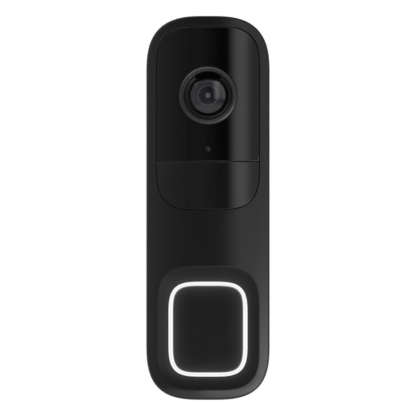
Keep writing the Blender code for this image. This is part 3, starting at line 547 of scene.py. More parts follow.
def make_front_housing():
    skin = Skin()
    inner = Bow(FRONT_SKIN, rolled=False)
    cavity_front, cavity_back = skin.draw(BODY, WALL, inner), skin.draw(BODY, WALL, HOUSING.back)
    bevel = 0.15
    rim = skin.draw(BODY, bevel, HOUSING.back)
    side = skin.wall(BODY, 0, HOUSING.back + bevel)
    edge = skin.edge(BODY, 0, FRONT, EDGE_RADIUS, 7)
    skin.strips([cavity_front, cavity_back, rim, side, *edge])

    recess, ledge = Bow(1.8), 2.0
    mouth = skin.edge(PANEL, 0, FRONT, 0.22, 4, hole=True)[::-1]
    recess_foot, ledge_edge = skin.draw(PANEL, 0, recess), skin.draw(PANEL, ledge, recess)
    panel_hole = skin.draw(PANEL, ledge, inner)
    skin.strips([*mouth, recess_foot, ledge_edge, panel_hole])

    dish = dish_rings(skin)
    pan_back = 22.8
    ring_hole = skin.draw(LIGHT, -RING_CLEARANCE, pan_back)
    pan_edge, pan_top = skin.draw(DISH, 0.1, pan_back), skin.draw(DISH, 0.1, inner)
    skin.strips([*dish, ring_hole, pan_edge, pan_top])

    skin.fill(edge[-1], [mouth[0], dish[0]], FRONT, (2.0, 2.6))
    skin.fill(cavity_front, [panel_hole, pan_top], inner, (6.0, 9.0), exact=False)
    housing = skin.build("housing_shell")
    slots, pitch, middle_depth, width, length = [], 3.0, 16.8, 1.3, 7.6
    for number in range(5):
        outline = Slot(middle_depth, width, length).loop()
        loop = [(x + pitch * (number - 2), depth, HOUSING.bottom - 1) for x, depth in outline]
        slots.append(prism(f"sound_slot_{number}", loop, (0, 0, WALL + 2)))
    boolean(housing, slots, "DIFFERENCE")
    return skin.set_normals(housing)


DISH_DROP, DISH_CURVE = 0.5, 1.5


def dish_rings(skin):
    """The hollow round the button, from its rim in the bowed front down to the light ring."""
    floor, rim = LIGHT.loop(-RING_CLEARANCE), DISH.loop(0.2)
    floor_depth, rim_depth = CAP.front - DISH_DROP, FRONT.depth(DISH.loop(0.2))
    shoulder = DISH.loop(-0.3)
    rings = [skin.ring(shoulder, FRONT.depth(shoulder), FRONT.normal(shoulder))]
    rings.append(skin.ring(DISH.loop(), FRONT.depth(DISH.loop()) - 0.03))
    steps = 16
    for step in range(steps, -1, -1):
        share = step / steps
        loop = floor + (rim - floor) * share
        rings.append(skin.ring(loop, floor_depth + (rim_depth - 0.1 - floor_depth) * share**DISH_CURVE))
    return rings


def make_rear_cover():
    """The tray behind the housing, with its pockets for the terminals, the plate's tabs and the screws."""
    skin = Skin()
    wall_back, wall_front = 3.0, 5.0
    foot = skin.edge(BODY, 0, Flat(COVER.back, -1), 0.5, 5)
    seat_depth = COVER.front - 1.4
    lip = [skin.wall(BODY, 0, COVER.front - 0.15), skin.draw(BODY, 0.15, COVER.front)]
    seat = [skin.draw(BODY, 1.1, level) for level in (COVER.front, seat_depth)]
    tray = [skin.draw(BODY, WALL, level) for level in (seat_depth, wall_front)]
    foot_edge = (WALL - 0.3, COVER.back), (WALL, COVER.back + 0.3), (WALL, wall_back)
    skirt = [skin.draw(BODY, inset, level) for inset, level in foot_edge]
    skin.strips([*skirt[::-1], *foot[::-1], *lip, *seat, *tray])
    skin.fill(tray[-1], [], Flat(wall_front), (8.0, 8.0))
    skin.fill(skirt[-1], [], Flat(wall_back, -1), (8.0, 8.0))
    cover = skin.build("rear_shell")

    inside_wall = wall_front - 0.5
    joined = [
        box("terminal_walls", -11, 11, inside_wall, 12, 1.5, 26.5),
        box("tongue_walls", -9, 9, inside_wall, 9.4, 57, 63.5),
        box("lock_walls", -6, 6, inside_wall, 9.9, COVER.bottom + WALL / 2, -57.5),
        rod("tamper_guide", 3.4, inside_wall, 9.4, TAMPER.x, TAMPER.height),
    ]
    for number, (x, height) in enumerate(HOUSING_SCREWS):
        joined.append(rod(f"boss_{number}", 3.3, inside_wall, COVER.front - 0.6, x, height))
    boolean(cover, joined, "UNION")
    before = wall_back - 2
    cuts = [
        box("terminal_pocket", -9.5, 9.5, before, 10.5, 3, 25),
        box("tongue_pocket", -7.4, 7.4, before, 8, 58.6, 61.9),
        box("lock_pocket", -4.4, 4.4, before, 8.6, -62, -58.8),
        rod("tamper_hole", 2.15, before, 12, TAMPER.x, TAMPER.height),
        post("lock_counterbore", 2.9, COVER.bottom - 2, -64, LOCK_DEPTH),
        post("lock_clearance", 1.8, -65, -61, LOCK_DEPTH),
    ]
    for number, (x, height) in enumerate(HOUSING_SCREWS):
        cuts.append(rod(f"counterbore_{number}", 2.75, before, 6, x, height))
        cuts.append(rod(f"passage_{number}", 1.5, 5, COVER.front + 2, x, height))
    boolean(cover, cuts, "DIFFERENCE")
    return skin.set_normals(cover)


def make_wall_plate():
    """The plate that stays on the wall: a cable opening, two screw slots, a tongue and the lock's tab."""
    inset, thickness = 3.4, 2.4
    opening = Outline(11, 12.5, 4, 16.5, exponents=(2, 2))
    holes = [opening, Slot(48, 4.6, 10), Slot(-40, 4.6, 10, upright=False)]
    front, back = Flat(thickness), Flat(PLATE.back, -1)
    skin, base = plate("wall_shell", Offset(BODY, inset), holes, front, back, 0.5, 0.3)
    inside_plate = thickness / 2
    tabs = [
        box("plate_tongue", -7, 7, inside_plate, PLATE.front - 0.8, 59, 61.5, bevel=0.4),
        box("plate_lock_tab", -4, 4, inside_plate, PLATE.front, -61.6, -59.2, bevel=0.3),
    ]
    boolean(base, tabs, "UNION")
    boolean(base, [post("lock_tab_hole", 1.8, -64, -57, LOCK_DEPTH)], "DIFFERENCE")
    return skin.set_normals(base)


# ---------------- front windows

PANEL_THICKNESS, PANEL_EDGE = 1.5, 0.2
PANEL_SPACING = (2.0, 4.0)


def make_window(name, cut, above, *holes):
    """The part of the glossy panel above or below a cut."""
    outline, back = CutOutline(Offset(PANEL, SEAM), cut, above), Bow(PANEL_THICKNESS)
    skin, window = plate(name, outline, holes, FRONT, back, PANEL_EDGE, 0, PANEL_SPACING, 4)
    return skin.set_normals(window)


def make_camera_window():
    """The upper part, round the camera, the microphone and the status light."""
    camera = Circle(BEZEL_RADIUS + 0.04, LENS_HEIGHT, 96)
    microphone, status = Circle(0.62, MICROPHONE.height, 24), Circle(1.0, STATUS.height, 32)
    return make_window("camera_window", PANEL_UPPER.bottom, True, camera, microphone, status)


def make_sensor_window():
    """The lower part, in front of the motion sensor."""
    return make_window("sensor_window", PANEL_LOWER.top, False)


# ---------------- camera

BEZEL_RADIUS = 10.5


def make_bezel():
    """A fat rounded lip that stands proud of the panel, with a funnel that falls to the barrel."""
    flange_front, flange_back, crest, throat = 26.9, 25.9, 9.1, 8.1
    level, outward = 29.75, BEZEL_RADIUS - crest
    profile = [(BEZEL.right, flange_back), (BEZEL.right, flange_front), (BEZEL_RADIUS, flange_front)]
    profile += arc(crest, level, outward, BEZEL.front - level, 90, 11)
    foot, foot_level = 7.7, 29.05
    for share in np.linspace(0, 1, 18)[1:]:
        fall = (1 - math.cos(math.pi * share)) / 2
        profile.append((crest - (crest - foot) * share, BEZEL.front - (BEZEL.front - foot_level) * fall))
    profile += [(foot, 28.6), (throat, 28.4), (throat, flange_back)]
    return shade(turned("camera_ring", profile, 0, LENS_HEIGHT, 120, closed=True))


def make_barrel():
    """The lens barrel: a fine bright edge, a dark step down to the glass, and a tube behind it."""
    front, edge = BARREL.front, 0.12
    profile = arc(7.6 - edge, front - edge, edge, edge, 180, 6)
    profile += [(7.34, front - 0.9), (6.7, front - 1.0), (6.65, front - 1.05)]
    profile += [(6.65, 26.2), (5.6, 26.2), (5.6, 22), (4.6, 22), (4.6, 17)]
    profile += [(6.1, 17), (6.1, 25.4), (7.6, 25.4)]
    return shade(turned("barrel_tube", profile, 0, LENS_HEIGHT, 96, closed=True))


def make_shade_crescent():
    """A matt black crescent over the top of the glass: a dark piece put in the funnel where there is only
    shade, painted shade.
    """
    # painted shade: this crescent stands in for the shade in the upper funnel, not for a real part
    half_angle, steps = math.radians(41), 40
    profile = [(6.55, 28.6), (8.05, 28.4), (8.7, 29.2), (8.85, 29.9), (8.4, 30.0), (6.7, 29.3)]
    skin, rings = Skin(), []
    for angle in np.linspace(-half_angle, half_angle, steps + 1):
        taper = 1 - (abs(angle) / half_angle) ** 4
        loop, depths = [], []
        for radius, depth in profile:
            radius = 8.2 + (radius - 8.2) * (0.12 + 0.88 * taper)
            loop.append((radius * math.sin(angle), LENS_HEIGHT + radius * math.cos(angle)))
            depths.append(28.4 + (depth - 28.4) * (0.3 + 0.7 * taper))
        rings.append(skin.ring(loop, depths))
    skin.strips(rings)
    skin.faces += [tuple(rings[0]), tuple(rings[-1][::-1])]
    return shade(skin.build("lens_hood"))


def make_front_glass():
    """The domed outer lens."""
    radius, crown, rim, base = LENS.right, LENS.front, 27.7, 26.5
    profile = []
    for share in np.linspace(0, 1, 18):
        profile.append((radius * share, crown - (crown - rim) * share**2))
    profile += [(radius, base), (5.0, base)]
    for share in np.linspace(0, 1, 8)[1:]:
        profile.append((5.0 * (1 - share), base + 0.5 * (1 - (1 - share) ** 2)))
    return shade(turned("outer_glass", profile, 0, LENS_HEIGHT, 96), 50)


def make_microphone_mesh():
    """The fine black mesh that closes the microphone opening, just below the panel's face."""
    face = FRONT.depth(np.array([MICROPHONE]))[0] - 0.1
    profile = [(0, face), (0.45, face - 0.01), (0.56, face - 0.04), (0.6, face - 0.12), (0.6, face - 0.9)]
    return shade(turned("microphone_mesh", [*profile, (0, face - 0.9)], *MICROPHONE, 32), 40)


def make_status_light():
    """The small domed end of the status light's pipe."""
    tip = PIPE.front
    profile = [(0, tip), (0.35, tip - 0.01), (0.65, tip - 0.05), (0.85, tip - 0.12), (0.93, tip - 0.22)]
    profile += [(0.93, tip - 2.0), (PIPE.right, tip - 2.2), (PIPE.right, PIPE.back), (0, PIPE.back)]
    return shade(turned("status_dot", profile, STATUS.x, STATUS.height, 40), 40)


# ---------------- button and light


def make_light():
    """The light guide: a deep ring with a softly rounded front edge and a flange behind the dish."""
    skin = Skin()
    outside = skin.edge(LIGHT, 0, Flat(RING.front), 0.3, 5)
    inside_edge = skin.edge(BUTTON, 0, Flat(RING.front), 0.3, 5, hole=True)[::-1]
    flange = [(0, 22.5), (-RING_FLANGE, 22.5), (-RING_FLANGE, 21.4), (0, 21.4), (0, RING.back)]
    outer_rings = [skin.draw(LIGHT, inset, depth) for inset, depth in flange][::-1]
    foot = skin.draw(BUTTON, 0, RING.back)
    skin.strips([*outer_rings, *outside, *inside_edge, foot, outer_rings[0]])
    return skin.set_normals(skin.build("light_guide_ring"))


def make_cap():
    """The push button: a flat cap with a skirt, and the stem that reaches the switch."""
    skin = Skin()
    outline = Offset(BUTTON, RING_CLEARANCE)
    edge = skin.edge(outline, 0, Flat(CAP.front), 0.35, 5)
    skirt, hollow_depth, stem_radius, stem_back = 1.3, 24.5, 2.4, 21.7
    wall_foot, skirt_foot = (skin.draw(outline, inset, CAP.back) for inset in (0, skirt))
    hollow = skin.draw(outline, skirt, hollow_depth)
    stem = Circle(stem_radius, BUTTON_HEIGHT, 36)
    stem_top, stem_foot = (skin.draw(stem, 0, level) for level in (hollow_depth, stem_back))
    skin.strips([hollow, skirt_foot, wall_foot, *edge])
    skin.strip(stem_top, stem_foot)
    skin.fill(edge[-1], [], Flat(CAP.front), (4.0, 4.0))
    skin.fill(hollow, [stem_top], Flat(hollow_depth, -1), exact=False)
    skin.fill(stem_foot, [], Flat(stem_back, -1), exact=False)
    return skin.set_normals(skin.build("button_top"))


# ---------------- materials


class Paint:
    """A Principled material whose nodes vary it over the object's own space."""

    def __init__(self, name, colour, roughness, metallic=0.0, **sockets):
        self.material = bpy.data.materials.new(name)
        self.material.use_nodes = True
        self.tree = self.material.node_tree
        self.shader = self.tree.nodes["Principled BSDF"]
        values = {"Base Color": (*colour, 1.0), "Roughness": roughness, "Metallic": metallic, **sockets}
        for socket, value in values.items():
            self.shader.inputs[socket.replace("_", " ")].default_value = value
        self.colour = colour

    def drive(self, socket, output):
        """Feeds an input of the shader from a node."""
        self.tree.links.new(output, self.shader.inputs[socket])

    def node(self, kind, operation=None, other=None, **inputs):
        """A node with its inputs by name. A maths node takes its operation and its second operand."""
        made = self.tree.nodes.new(kind)
        if operation:
            made.operation = operation
        if other is not None:
            made.inputs[1].default_value = other
        for name, value in inputs.items():
            socket = made.inputs[name.replace("_", " ")]
            if isinstance(value, bpy.types.NodeSocket):
                self.tree.links.new(value, socket)
            else:
                socket.default_value = value
        return made

    def space(self, stretch=(1, 1, 1), offset=(0, 0, 0)):
        """The object's own coordinates, scaled, and shifted by millimetres."""
        coordinates = self.node("ShaderNodeTexCoord")
        mapping = self.node("ShaderNodeMapping", Vector=coordinates.outputs["Object"], Scale=stretch)
        mapping.inputs["Location"].default_value = [-s * o * MM for s, o in zip(stretch, offset)]
        return mapping.outputs["Vector"]

    def noise(self, size, detail, stretch=(1, 1, 1)):
        """Noise whose patches are about that many millimetres across."""
        scale = 1 / (size * MM)
        made = self.node("ShaderNodeTexNoise", Vector=self.space(stretch), Scale=scale, Detail=detail)
        made.inputs["Roughness"].default_value = 0.6
        return made.outputs["Fac"]

    def spread(self, factor, low, high, start=0.3, end=0.7):
        """A factor's range from start to end, turned into the range from low to high."""
        made = self.node("ShaderNodeMapRange", Value=factor, From_Min=start, From_Max=end)
        for name, value in (("To Min", low), ("To Max", high)):
            made.inputs[name].default_value = value
        return made.outputs["Result"]

    def ramp(self, factor, *stops):
        """Colours along a factor, as (position, colour) stops."""
        made = self.node("ShaderNodeValToRGB", Fac=factor)
        set_stops(made, stops)
        return made.outputs["Color"]

    def tint(self, factor, *stops):
        self.drive("Base Color", self.ramp(factor, *stops))

    def rough(self, factor, low, high):
        self.drive("Roughness", self.spread(factor, low, high))

    def bump(self, height, strength, deep):
        """Relief of a given depth in millimetres."""
        made = self.node("ShaderNodeBump", Height=height, Strength=strength, Distance=deep * MM)
        self.drive("Normal", made.outputs["Normal"])

    def shades(self, factor, change):
        """The paint's own colour, darker and lighter by a share."""
        dark, light = ([c * (1 + way * change) for c in self.colour] for way in (-1, 1))
        self.tint(factor, (0.35, dark), (0.65, light))

    def from_lens(self):
        """Distance in millimetres from the lens's axis."""
        space = self.space((1 / MM, 0, 1 / MM), (0, 0, LENS_HEIGHT))
        return self.node("ShaderNodeVectorMath", "LENGTH", Vector=space).outputs["Value"]

    def from_outline(self, outline):
        """Distance in millimetres outward from an outline, and negative inside it."""
        wide, tall = (half - outline.corner for half in outline.half)
        power = outline.exponent
        spot = self.space((1 / MM, 0, 1 / MM), (0, 0, outline.middle[1]))
        steps = [("ABSOLUTE", None), ("SUBTRACT", (wide, 0, tall)), ("MAXIMUM", (0, 0, 0))]
        steps += [("POWER", (power, 1, power)), ("DOT_PRODUCT", (1, 0, 1))]
        for operation, other in steps:
            step = self.node("ShaderNodeVectorMath", operation, other, Vector=spot)
            spot = step.outputs["Value" if operation == "DOT_PRODUCT" else "Vector"]
        for operation, other in (("POWER", 1 / power), ("SUBTRACT", outline.corner)):
            spot = self.node("ShaderNodeMath", operation, other, Value=spot).outputs["Value"]
        return spot

    def glow(self, outline, reach, *stops):
        """Emission by distance from an outline, as (distance, strength) stops: on the lit ring it is the
        ring's own light, and on the dish and the cap it is the ring's light painted onto them, a painted
        glow. Reach is negative inward.
        """
        share = self.spread(self.from_outline(outline), 0, 1, 0, reach)
        colours = [(far / abs(reach), (level, level, level * 1.02)) for far, level in stops]
        self.drive("Emission Color", self.ramp(share, *colours))
        self.shader.inputs["Emission Strength"].default_value = 1.0


def set_stops(ramp, stops):
    elements = ramp.color_ramp.elements
    while len(elements) < len(stops):
        elements.new(0.5)
    for element, (position, colour) in zip(elements, stops):
        element.position, element.color = position, (*colour, 1.0)


def plain(name, colour, change, patches, gloss, spots, metallic=0.0, relief=None, **sockets):
    """A paint whose colour changes by a share from patch to patch, and its roughness from spot to spot.
    Relief is the noise, the strength and the depth."""
    paint = Paint(name, colour, sum(gloss) / 2, metallic, **sockets)
    paint.shades(paint.noise(*patches), change)
    paint.rough(paint.noise(*spots), *gloss)
    if relief:
        noise, strength, deep = relief
        paint.bump(paint.noise(*noise), strength, deep)
    return paint


def moulded(name, colour, gloss, grain=None):
    """Moulded plastic, with a fine spark-eroded grain if a (size, strength) is given for it."""
    relief = ((grain[0], 2.0), grain[1], 0.012) if grain else None
    return plain(name, colour, 0.1, (9.0, 4.0), gloss, (5.0, 3.0), relief=relief)


def satin_plastic(name="satin_black_plastic"):
    return moulded(name, (0.0030, 0.0031, 0.0030), (0.265, 0.29), (0.28, 0.05))


def front_plastic():
    """The casing's plastic on the front shell. The ring's light on the dish round it is painted on as
    emission, a painted glow; the dish is also duller.
    """
    paint = satin_plastic("front_black_plastic")
    # painted glow: emission strengths by distance from the ring, standing in for the ring's light on the
    # dish
    beside = (0, 0.024), (0.36, 0.021), (0.72, 0.016), (1.1, 0.0105), (1.8, 0.0045), (2.5, 0.0018), (3.6, 0)
    paint.glow(LIGHT, 4.0, *beside)
    past_rim = paint.from_outline(DISH)
    for socket, in_dish, outside in (("Roughness", 0.62, 0.275), ("Specular IOR Level", 0.33, 0.5)):
        paint.drive(socket, paint.spread(past_rim, in_dish, outside, -0.1, 0.2))
    return paint


def cap_plastic():
    """The button's plastic, with the light of the ring round it painted on as emission, a painted glow."""
    paint = moulded("button_black_plastic", (0.0026, 0.0027, 0.0027), (0.27, 0.30))
    # painted glow: emission strengths by distance inward from the ring, standing in for the ring's light on
    # the cap
    near = (0, 0.05), (0.36, 0.04), (0.72, 0.03), (1.1, 0.022), (1.5, 0.0165)
    paint.glow(BUTTON, -6.0, *near, (2.5, 0.0085), (4.2, 0.003), (6.0, 0))
    return paint


def duller_inside(paint, inner, outer, start, end):
    """Less reflection nearer to the lens's axis, between two radii in millimetres."""
    paint.drive("Specular IOR Level", paint.spread(paint.from_lens(), inner, outer, start, end))
    return paint


def bezel_plastic():
    """Satin on the lip, and duller down the funnel."""
    paint = moulded("bezel_black_plastic", (0.0034, 0.0035, 0.0034), (0.36, 0.40))
    return duller_inside(paint, 0.38, 0.62, 8.2, 9.2)


def barrel_plastic():
    """Satin on the fine front edge, and dull on the step down to the glass."""
    paint = moulded("barrel_black_plastic", (0.0026, 0.0027, 0.0027), (0.24, 0.28))
    return duller_inside(paint, 0.16, 0.7, 7.25, 7.4)


def matt_black():
    """Flocked black, which swallows the light."""
    black = (0.0008, 0.0008, 0.0008)
    return plain("matt_black", black, 0.2, (0.8, 3.0), (0.85, 0.95), (0.6, 3.0), Specular_IOR_Level=0.02)


def gloss_plastic(name, level, gloss):
    """Polished black plastic, with a faint waviness and the least change of gloss."""
    waves = (11.0, 1.0), 0.05, 0.02
    return plain(name, (level,) * 3, 0.15, (14.0, 3.0), gloss, (6.0, 6.0), relief=waves, IOR=1.5)


def frosted_plastic():
    """White plastic that carries light but isn't lit."""
    return plain("frosted_white_plastic", (0.7, 0.72, 0.72), 0.05, (2.0, 3.0), (0.32, 0.5), (1.0, 4.0))


def light_guide():
    """Frosted white plastic, lit from behind, a little brighter along its two edges."""
    paint = Paint("lit_white_guide", (0.12, 0.125, 0.13), 0.5)
    paint.shades(paint.noise(5.0, 3.0), 0.02)
    edge, middle = 0.83, 0.66
    across = (0, edge), (0.25, edge), (0.5, middle), (0.75, edge), (1, edge)
    paint.glow(LIGHT, -RING_WIDTH, *((share * RING_WIDTH, level) for share, level in across))
    paint.bump(paint.noise(0.3, 2.0), 0.2, 0.01)
    return paint


def outer_glass():
    """Coated glass over a dark lens stack: a painted highlight at the centre (a grey spot round a brighter
    glint), a navy bowl, a thin pale ring, a purplish rim.
    """
    paint = Paint("coated_outer_glass", (0.02, 0.018, 0.03), 0.05, IOR=1.66)
    radius = paint.spread(paint.from_lens(), 0, 1, 0, LENS.right)
    # painted highlight: the grey spot and the glint at the centre stand in for a reflection in the lens
    glint, painted_centre_highlight, bowl = (0.3, 0.29, 0.29), (0.2, 0.19, 0.19), (0.008, 0.008, 0.016)
    band, rim, margin = (0.15, 0.145, 0.122), (0.035, 0.028, 0.044), (0.02, 0.018, 0.022)
    stops = [(0, glint), (0.04, (0.1, 0.1, 0.1)), (0.11, painted_centre_highlight), (0.16, (0.02, 0.02, 0.03)), (0.3, bowl)]
    stops += [(0.535, (0.012, 0.012, 0.022)), (0.55, band), (0.562, band), (0.58, (0.03, 0.027, 0.034))]
    paint.tint(radius, *stops, (0.8, rim), (1, margin))
    paint.rough(paint.noise(1.5, 4.0), 0.13, 0.17)
    return paint


def circuit_board():
    """Green lacquer over copper tracks."""
    paint = Paint("lacquered_circuit_board", (0.012, 0.085, 0.035), 0.3, Coat_Weight=0.3)
    colours = {"Color1": (0.010, 0.075, 0.030, 1), "Color2": (0.012, 0.100, 0.040, 1)}
    colours["Mortar"] = (0.035, 0.19, 0.075, 1)
    brick = paint.node("ShaderNodeTexBrick", Vector=paint.space((1, 0, 1)), Scale=1 / (11 * MM), **colours)
    brick.inputs["Mortar Size"].default_value = 0.018
    paint.drive("Base Color", brick.outputs["Color"])
    paint.rough(paint.noise(2.0, 4.0), 0.25, 0.42)
    paint.bump(brick.outputs["Fac"], 0.3, 0.03)
    return paint


def metal(name, colour, gloss, stretch):
    """Worked metal, with fine marks drawn out along one way."""
    marks = (0.25, 4.0, stretch)
    return plain(name, colour, 0.08, (4.0, 4.0), gloss, marks, 1.0, (marks, 0.25, 0.01))


def striped(name, colour, metallic, coat, pitch, dark, light, spot, gloss):
    """Fine parallel lines, as on a flat cable's tracks or a coil's turns."""
    paint = Paint(name, colour, 0.3, metallic, Coat_Weight=coat)
    wave = paint.node("ShaderNodeTexWave", Vector=paint.space(), Scale=1 / (pitch * MM)).outputs["Fac"]
    paint.tint(wave, dark, light)
    paint.rough(paint.noise(spot, 3.0), *gloss)
    return paint, wave


def windings():
    """Enamelled copper wire, wound in close turns."""
    dark, light = (0.2, (0.16, 0.05, 0.02)), (0.8, (0.55, 0.22, 0.09))
    copper = (0.45, 0.17, 0.07)
    paint, wave = striped("enamelled_copper", copper, 1.0, 0.5, 0.9, dark, light, 1.0, (0.22, 0.4))
    paint.bump(wave, 0.5, 0.06)
    return paint


def flex():
    """Amber polyimide over parallel copper tracks."""
    pale, dark = (0.35, (0.42, 0.17, 0.03)), (0.65, (0.26, 0.09, 0.02))
    return striped("polyimide_flex", (0.4, 0.16, 0.03), 0.0, 0.4, 2.4, pale, dark, 1.5, (0.25, 0.4))[0]


def slot_materials():
    """A material for every slot of the record."""
    grip = (0.2, 3.0), 0.3, 0.02
    wrinkles = (5.0, 3.0, (1, 1, 3)), 0.2, 0.08
    paints = {
        "housing_plastic": satin_plastic(),
        "gloss_panel": gloss_plastic("gloss_black_plastic", 0.0016, (0.02, 0.05)),
        "motion_window": gloss_plastic("sensor_window_plastic", 0.0065, (0.06, 0.1)),
        "inner_plastic": moulded("inner_black_plastic", (0.02, 0.02, 0.02), (0.5, 0.66), (0.35, 0.05)),
        "light_guide": light_guide(),
        "clear_plastic": plain(
            "smoked_clear_plastic", (0.005, 0.005, 0.005), 0.15, (0.8, 3.0), (0.35, 0.45), (0.5, 3.0),
            Specular_IOR_Level=0.38,
        ),
        "lens_glass": plain(
            "coated_inner_glass", (0.03, 0.02, 0.05), 0.3, (3.0, 2.0), (0.03, 0.08), (1.0, 3.0),
            Coat_Weight=0.6, Coat_Roughness=0.03,
        ),
        "filter_glass": plain(
            "filter_glass", (0.12, 0.3, 0.3), 0.25, (3.0, 2.0), (0.03, 0.09), (1.0, 3.0), Coat_Weight=0.5
        ),
        "circuit_board": circuit_board(),
        "chip": plain("chip_epoxy", (0.015, 0.015, 0.017), 0.25, (0.6, 4.0), (0.35, 0.5), (0.4, 3.0)),
        "shield": metal("tinned_shield", (0.56, 0.56, 0.54), (0.3, 0.45), (1, 1, 8)),
        "steel": metal("zinc_plated_steel", (0.5, 0.51, 0.52), (0.25, 0.4), (6, 6, 1)),
        "brass": metal("plain_brass", (0.62, 0.43, 0.18), (0.25, 0.4), (6, 6, 1)),
        "copper": windings(),
        "silicone": plain(
            "black_silicone", (0.022, 0.022, 0.024), 0.2, (3.0, 4.0), (0.6, 0.8), (1.0, 4.0),
            relief=grip, Specular_IOR_Level=0.35,
        ),
        "battery": plain(
            "battery_wrap", (0.02, 0.06, 0.2), 0.15, (8.0, 4.0), (0.28, 0.42), (3.0, 4.0),
            relief=wrinkles, Coat_Weight=0.2,
        ),
        "flex": flex(),
    }
    return {slot: paint.material for slot, paint in paints.items()}


def dress(obj, material):
    obj.data.materials.clear()
    obj.data.materials.append(material)


# ---------------- studio

TARGET = Vector((0, -HOUSING.front, 0)) * MM


def direction(azimuth, elevation):
    """A unit vector from the object: azimuth 0 is straight ahead of it, and positive is to its +X side."""
    turn, rise = math.radians(azimuth), math.radians(elevation)
    return Vector((math.sin(turn) * math.cos(rise), -math.cos(turn) * math.cos(rise), math.sin(rise)))


def softbox(name, azimuth, elevation, distance, size, radiance, stops=None, target=TARGET):
    """A rectangular lamp aimed at the object. Stops are its brightness across its face, if it changes."""
    light = bpy.data.lights.new(name, "AREA")
    light.shape, (light.size, light.size_y) = "RECTANGLE", size
    light.energy = radiance * math.pi * size[0] * size[1]
    lamp = add_object(name, light)
    away = direction(azimuth, elevation)
    lamp.location = target + away * distance
    lamp.rotation_euler = away.to_track_quat("Z", "Y").to_euler()
    lamp.visible_camera = False
    if stops:
        light.use_nodes = True
        tree = light.node_tree
        kinds = "ShaderNodeNewGeometry", "ShaderNodeSeparateXYZ", "ShaderNodeValToRGB"
        spot, split, ramp = (tree.nodes.new(kind) for kind in kinds)
        tree.links.new(spot.outputs["Parametric"], split.inputs["Vector"])
        tree.links.new(split.outputs["X"], ramp.inputs["Fac"])
        tree.links.new(ramp.outputs["Color"], tree.nodes["Emission"].inputs["Color"])
        set_stops(ramp, [(position, (level, level, level)) for position, level in stops])
    return lamp


def keep_off(lamps, *pieces):
    """Leaves some pieces out of some lamps' light."""
    apart = bpy.data.collections.new(f"not_lit_by_{lamps[0].name}")
    for piece in pieces:
        apart.objects.link(bpy.data.objects[piece])
    for link in apart.collection_objects:
        link.light_linking.link_state = "EXCLUDE"
    for lamp in lamps:
        lamp.light_linking.receiver_collection = apart


def make_lights():
    """Soft light from all round, with one tall strip on the right that the gloss panel mirrors."""
    strip = (0.04, 0.05), (0.16, 0.29), (0.27, 0.58), (0.38, 0.85), (0.5, 0.97), (0.62, 1.0), (0.73, 0.91)
    strip += (0.86, 0.67), (0.97, 0.37)
    left = (0, 1.0), (0.2, 0.9), (0.42, 0.667), (0.54, 0.55), (0.66, 0.52), (0.78, 0.4), (1, 0.37)
    middle_left = (0, 1.0), (0.48, 0.95), (0.63, 0.55), (0.79, 0.42), (0.94, 0.13), (1, 0.06)
    softbox("strip_right", 22.5, 17, 1.3, (0.41, 1.1), 1.43, strip)
    softbox("right_near_strip", 34.1, 17, 1.35, (0.16, 1.1), 0.48)
    softbox("right_far", 48.75, 17, 1.35, (0.537, 1.1), 0.83)
    softbox("side_right", 76, 10, 1.35, (0.7, 1.3), 0.3)
    softbox("left", -29.25, 10, 1.35, (0.711, 1.1), 0.42, left)
    softbox("side_left", -63, 10, 1.35, (0.9, 1.3), 0.75)
    softbox("middle_left", -3.25, 10, 1.4, (0.557, 1.1), 0.13, middle_left)
    softbox("high_left", -52, 42, 1.35, (0.8, 0.7), 0.9)
    softbox("high_front", 0, 57, 1.4, (1.6, 1.1), 0.38)
    foot = TARGET + Vector((0, 0, -0.05))
    low = [
        softbox("low_front", 0, -34, 0.6, (0.7, 0.2), 0.48),
        softbox("low_far_right", 58, -42, 0.6, (0.35, 0.25), 0.9),
        softbox("low_wide", 25, -24, 0.5, (0.5, 0.15), 2.0, target=foot),
        softbox("low_right", 48, -14, 0.32, (0.14, 0.14), 4.7, target=foot),
    ]
    keep_off(low, "outer_glass")
    over = softbox("over_bezel", -22, 50, 1.2, (1.4, 0.9), 1.5)
    keep_off([over], "outer_glass", "housing_shell", "barrel_tube")
    softbox("back_left", -140, 25, 1.5, (1.4, 1.4), 1.2)
    softbox("back_right", 145, 20, 1.5, (1.4, 1.4), 1.2)
    softbox("back", 180, 8, 1.5, (1.0, 1.2), 0.8)
    softbox("high_back", 180, 62, 1.4, (1.4, 0.9), 0.9)
    for side, way in (("left", -1), ("right", 1)):
        softbox(f"flank_{side}", way * 108, 0, 1.35, (0.6, 0.8), 0.8)
        softbox(f"low_back_{side}", way * 138, -12, 1.3, (1.4, 0.3), 0.9)


def make_world():
    """White behind the object, and a dim studio in its reflections."""
    world = bpy.data.worlds.new("studio")
    world.use_nodes = True
    tree = world.node_tree
    tree.nodes.clear()
    kinds = "ShaderNodeOutputWorld", "ShaderNodeMixShader", "ShaderNodeLightPath"
    output, mix, path = (tree.nodes.new(kind) for kind in kinds)
    tree.links.new(path.outputs["Is Camera Ray"], mix.inputs["Fac"])
    for slot, level in ((1, 0.016), (2, 1.0)):
        background = tree.nodes.new("ShaderNodeBackground")
        background.inputs["Color"].default_value = (level, level, level, 1)
        tree.links.new(background.outputs["Background"], mix.inputs[slot])
    tree.links.new(mix.outputs["Shader"], output.inputs["Surface"])
    bpy.context.scene.world = world
    bpy.context.scene.view_settings.view_transform = "Standard"


FLOOR_BELOW = 0.45
FLOOR_GLOW = 0.06
FLOOR_NEAR, FLOOR_FAR = 0.5, 1.0  # the glow that the camera sees, which fades into the white behind


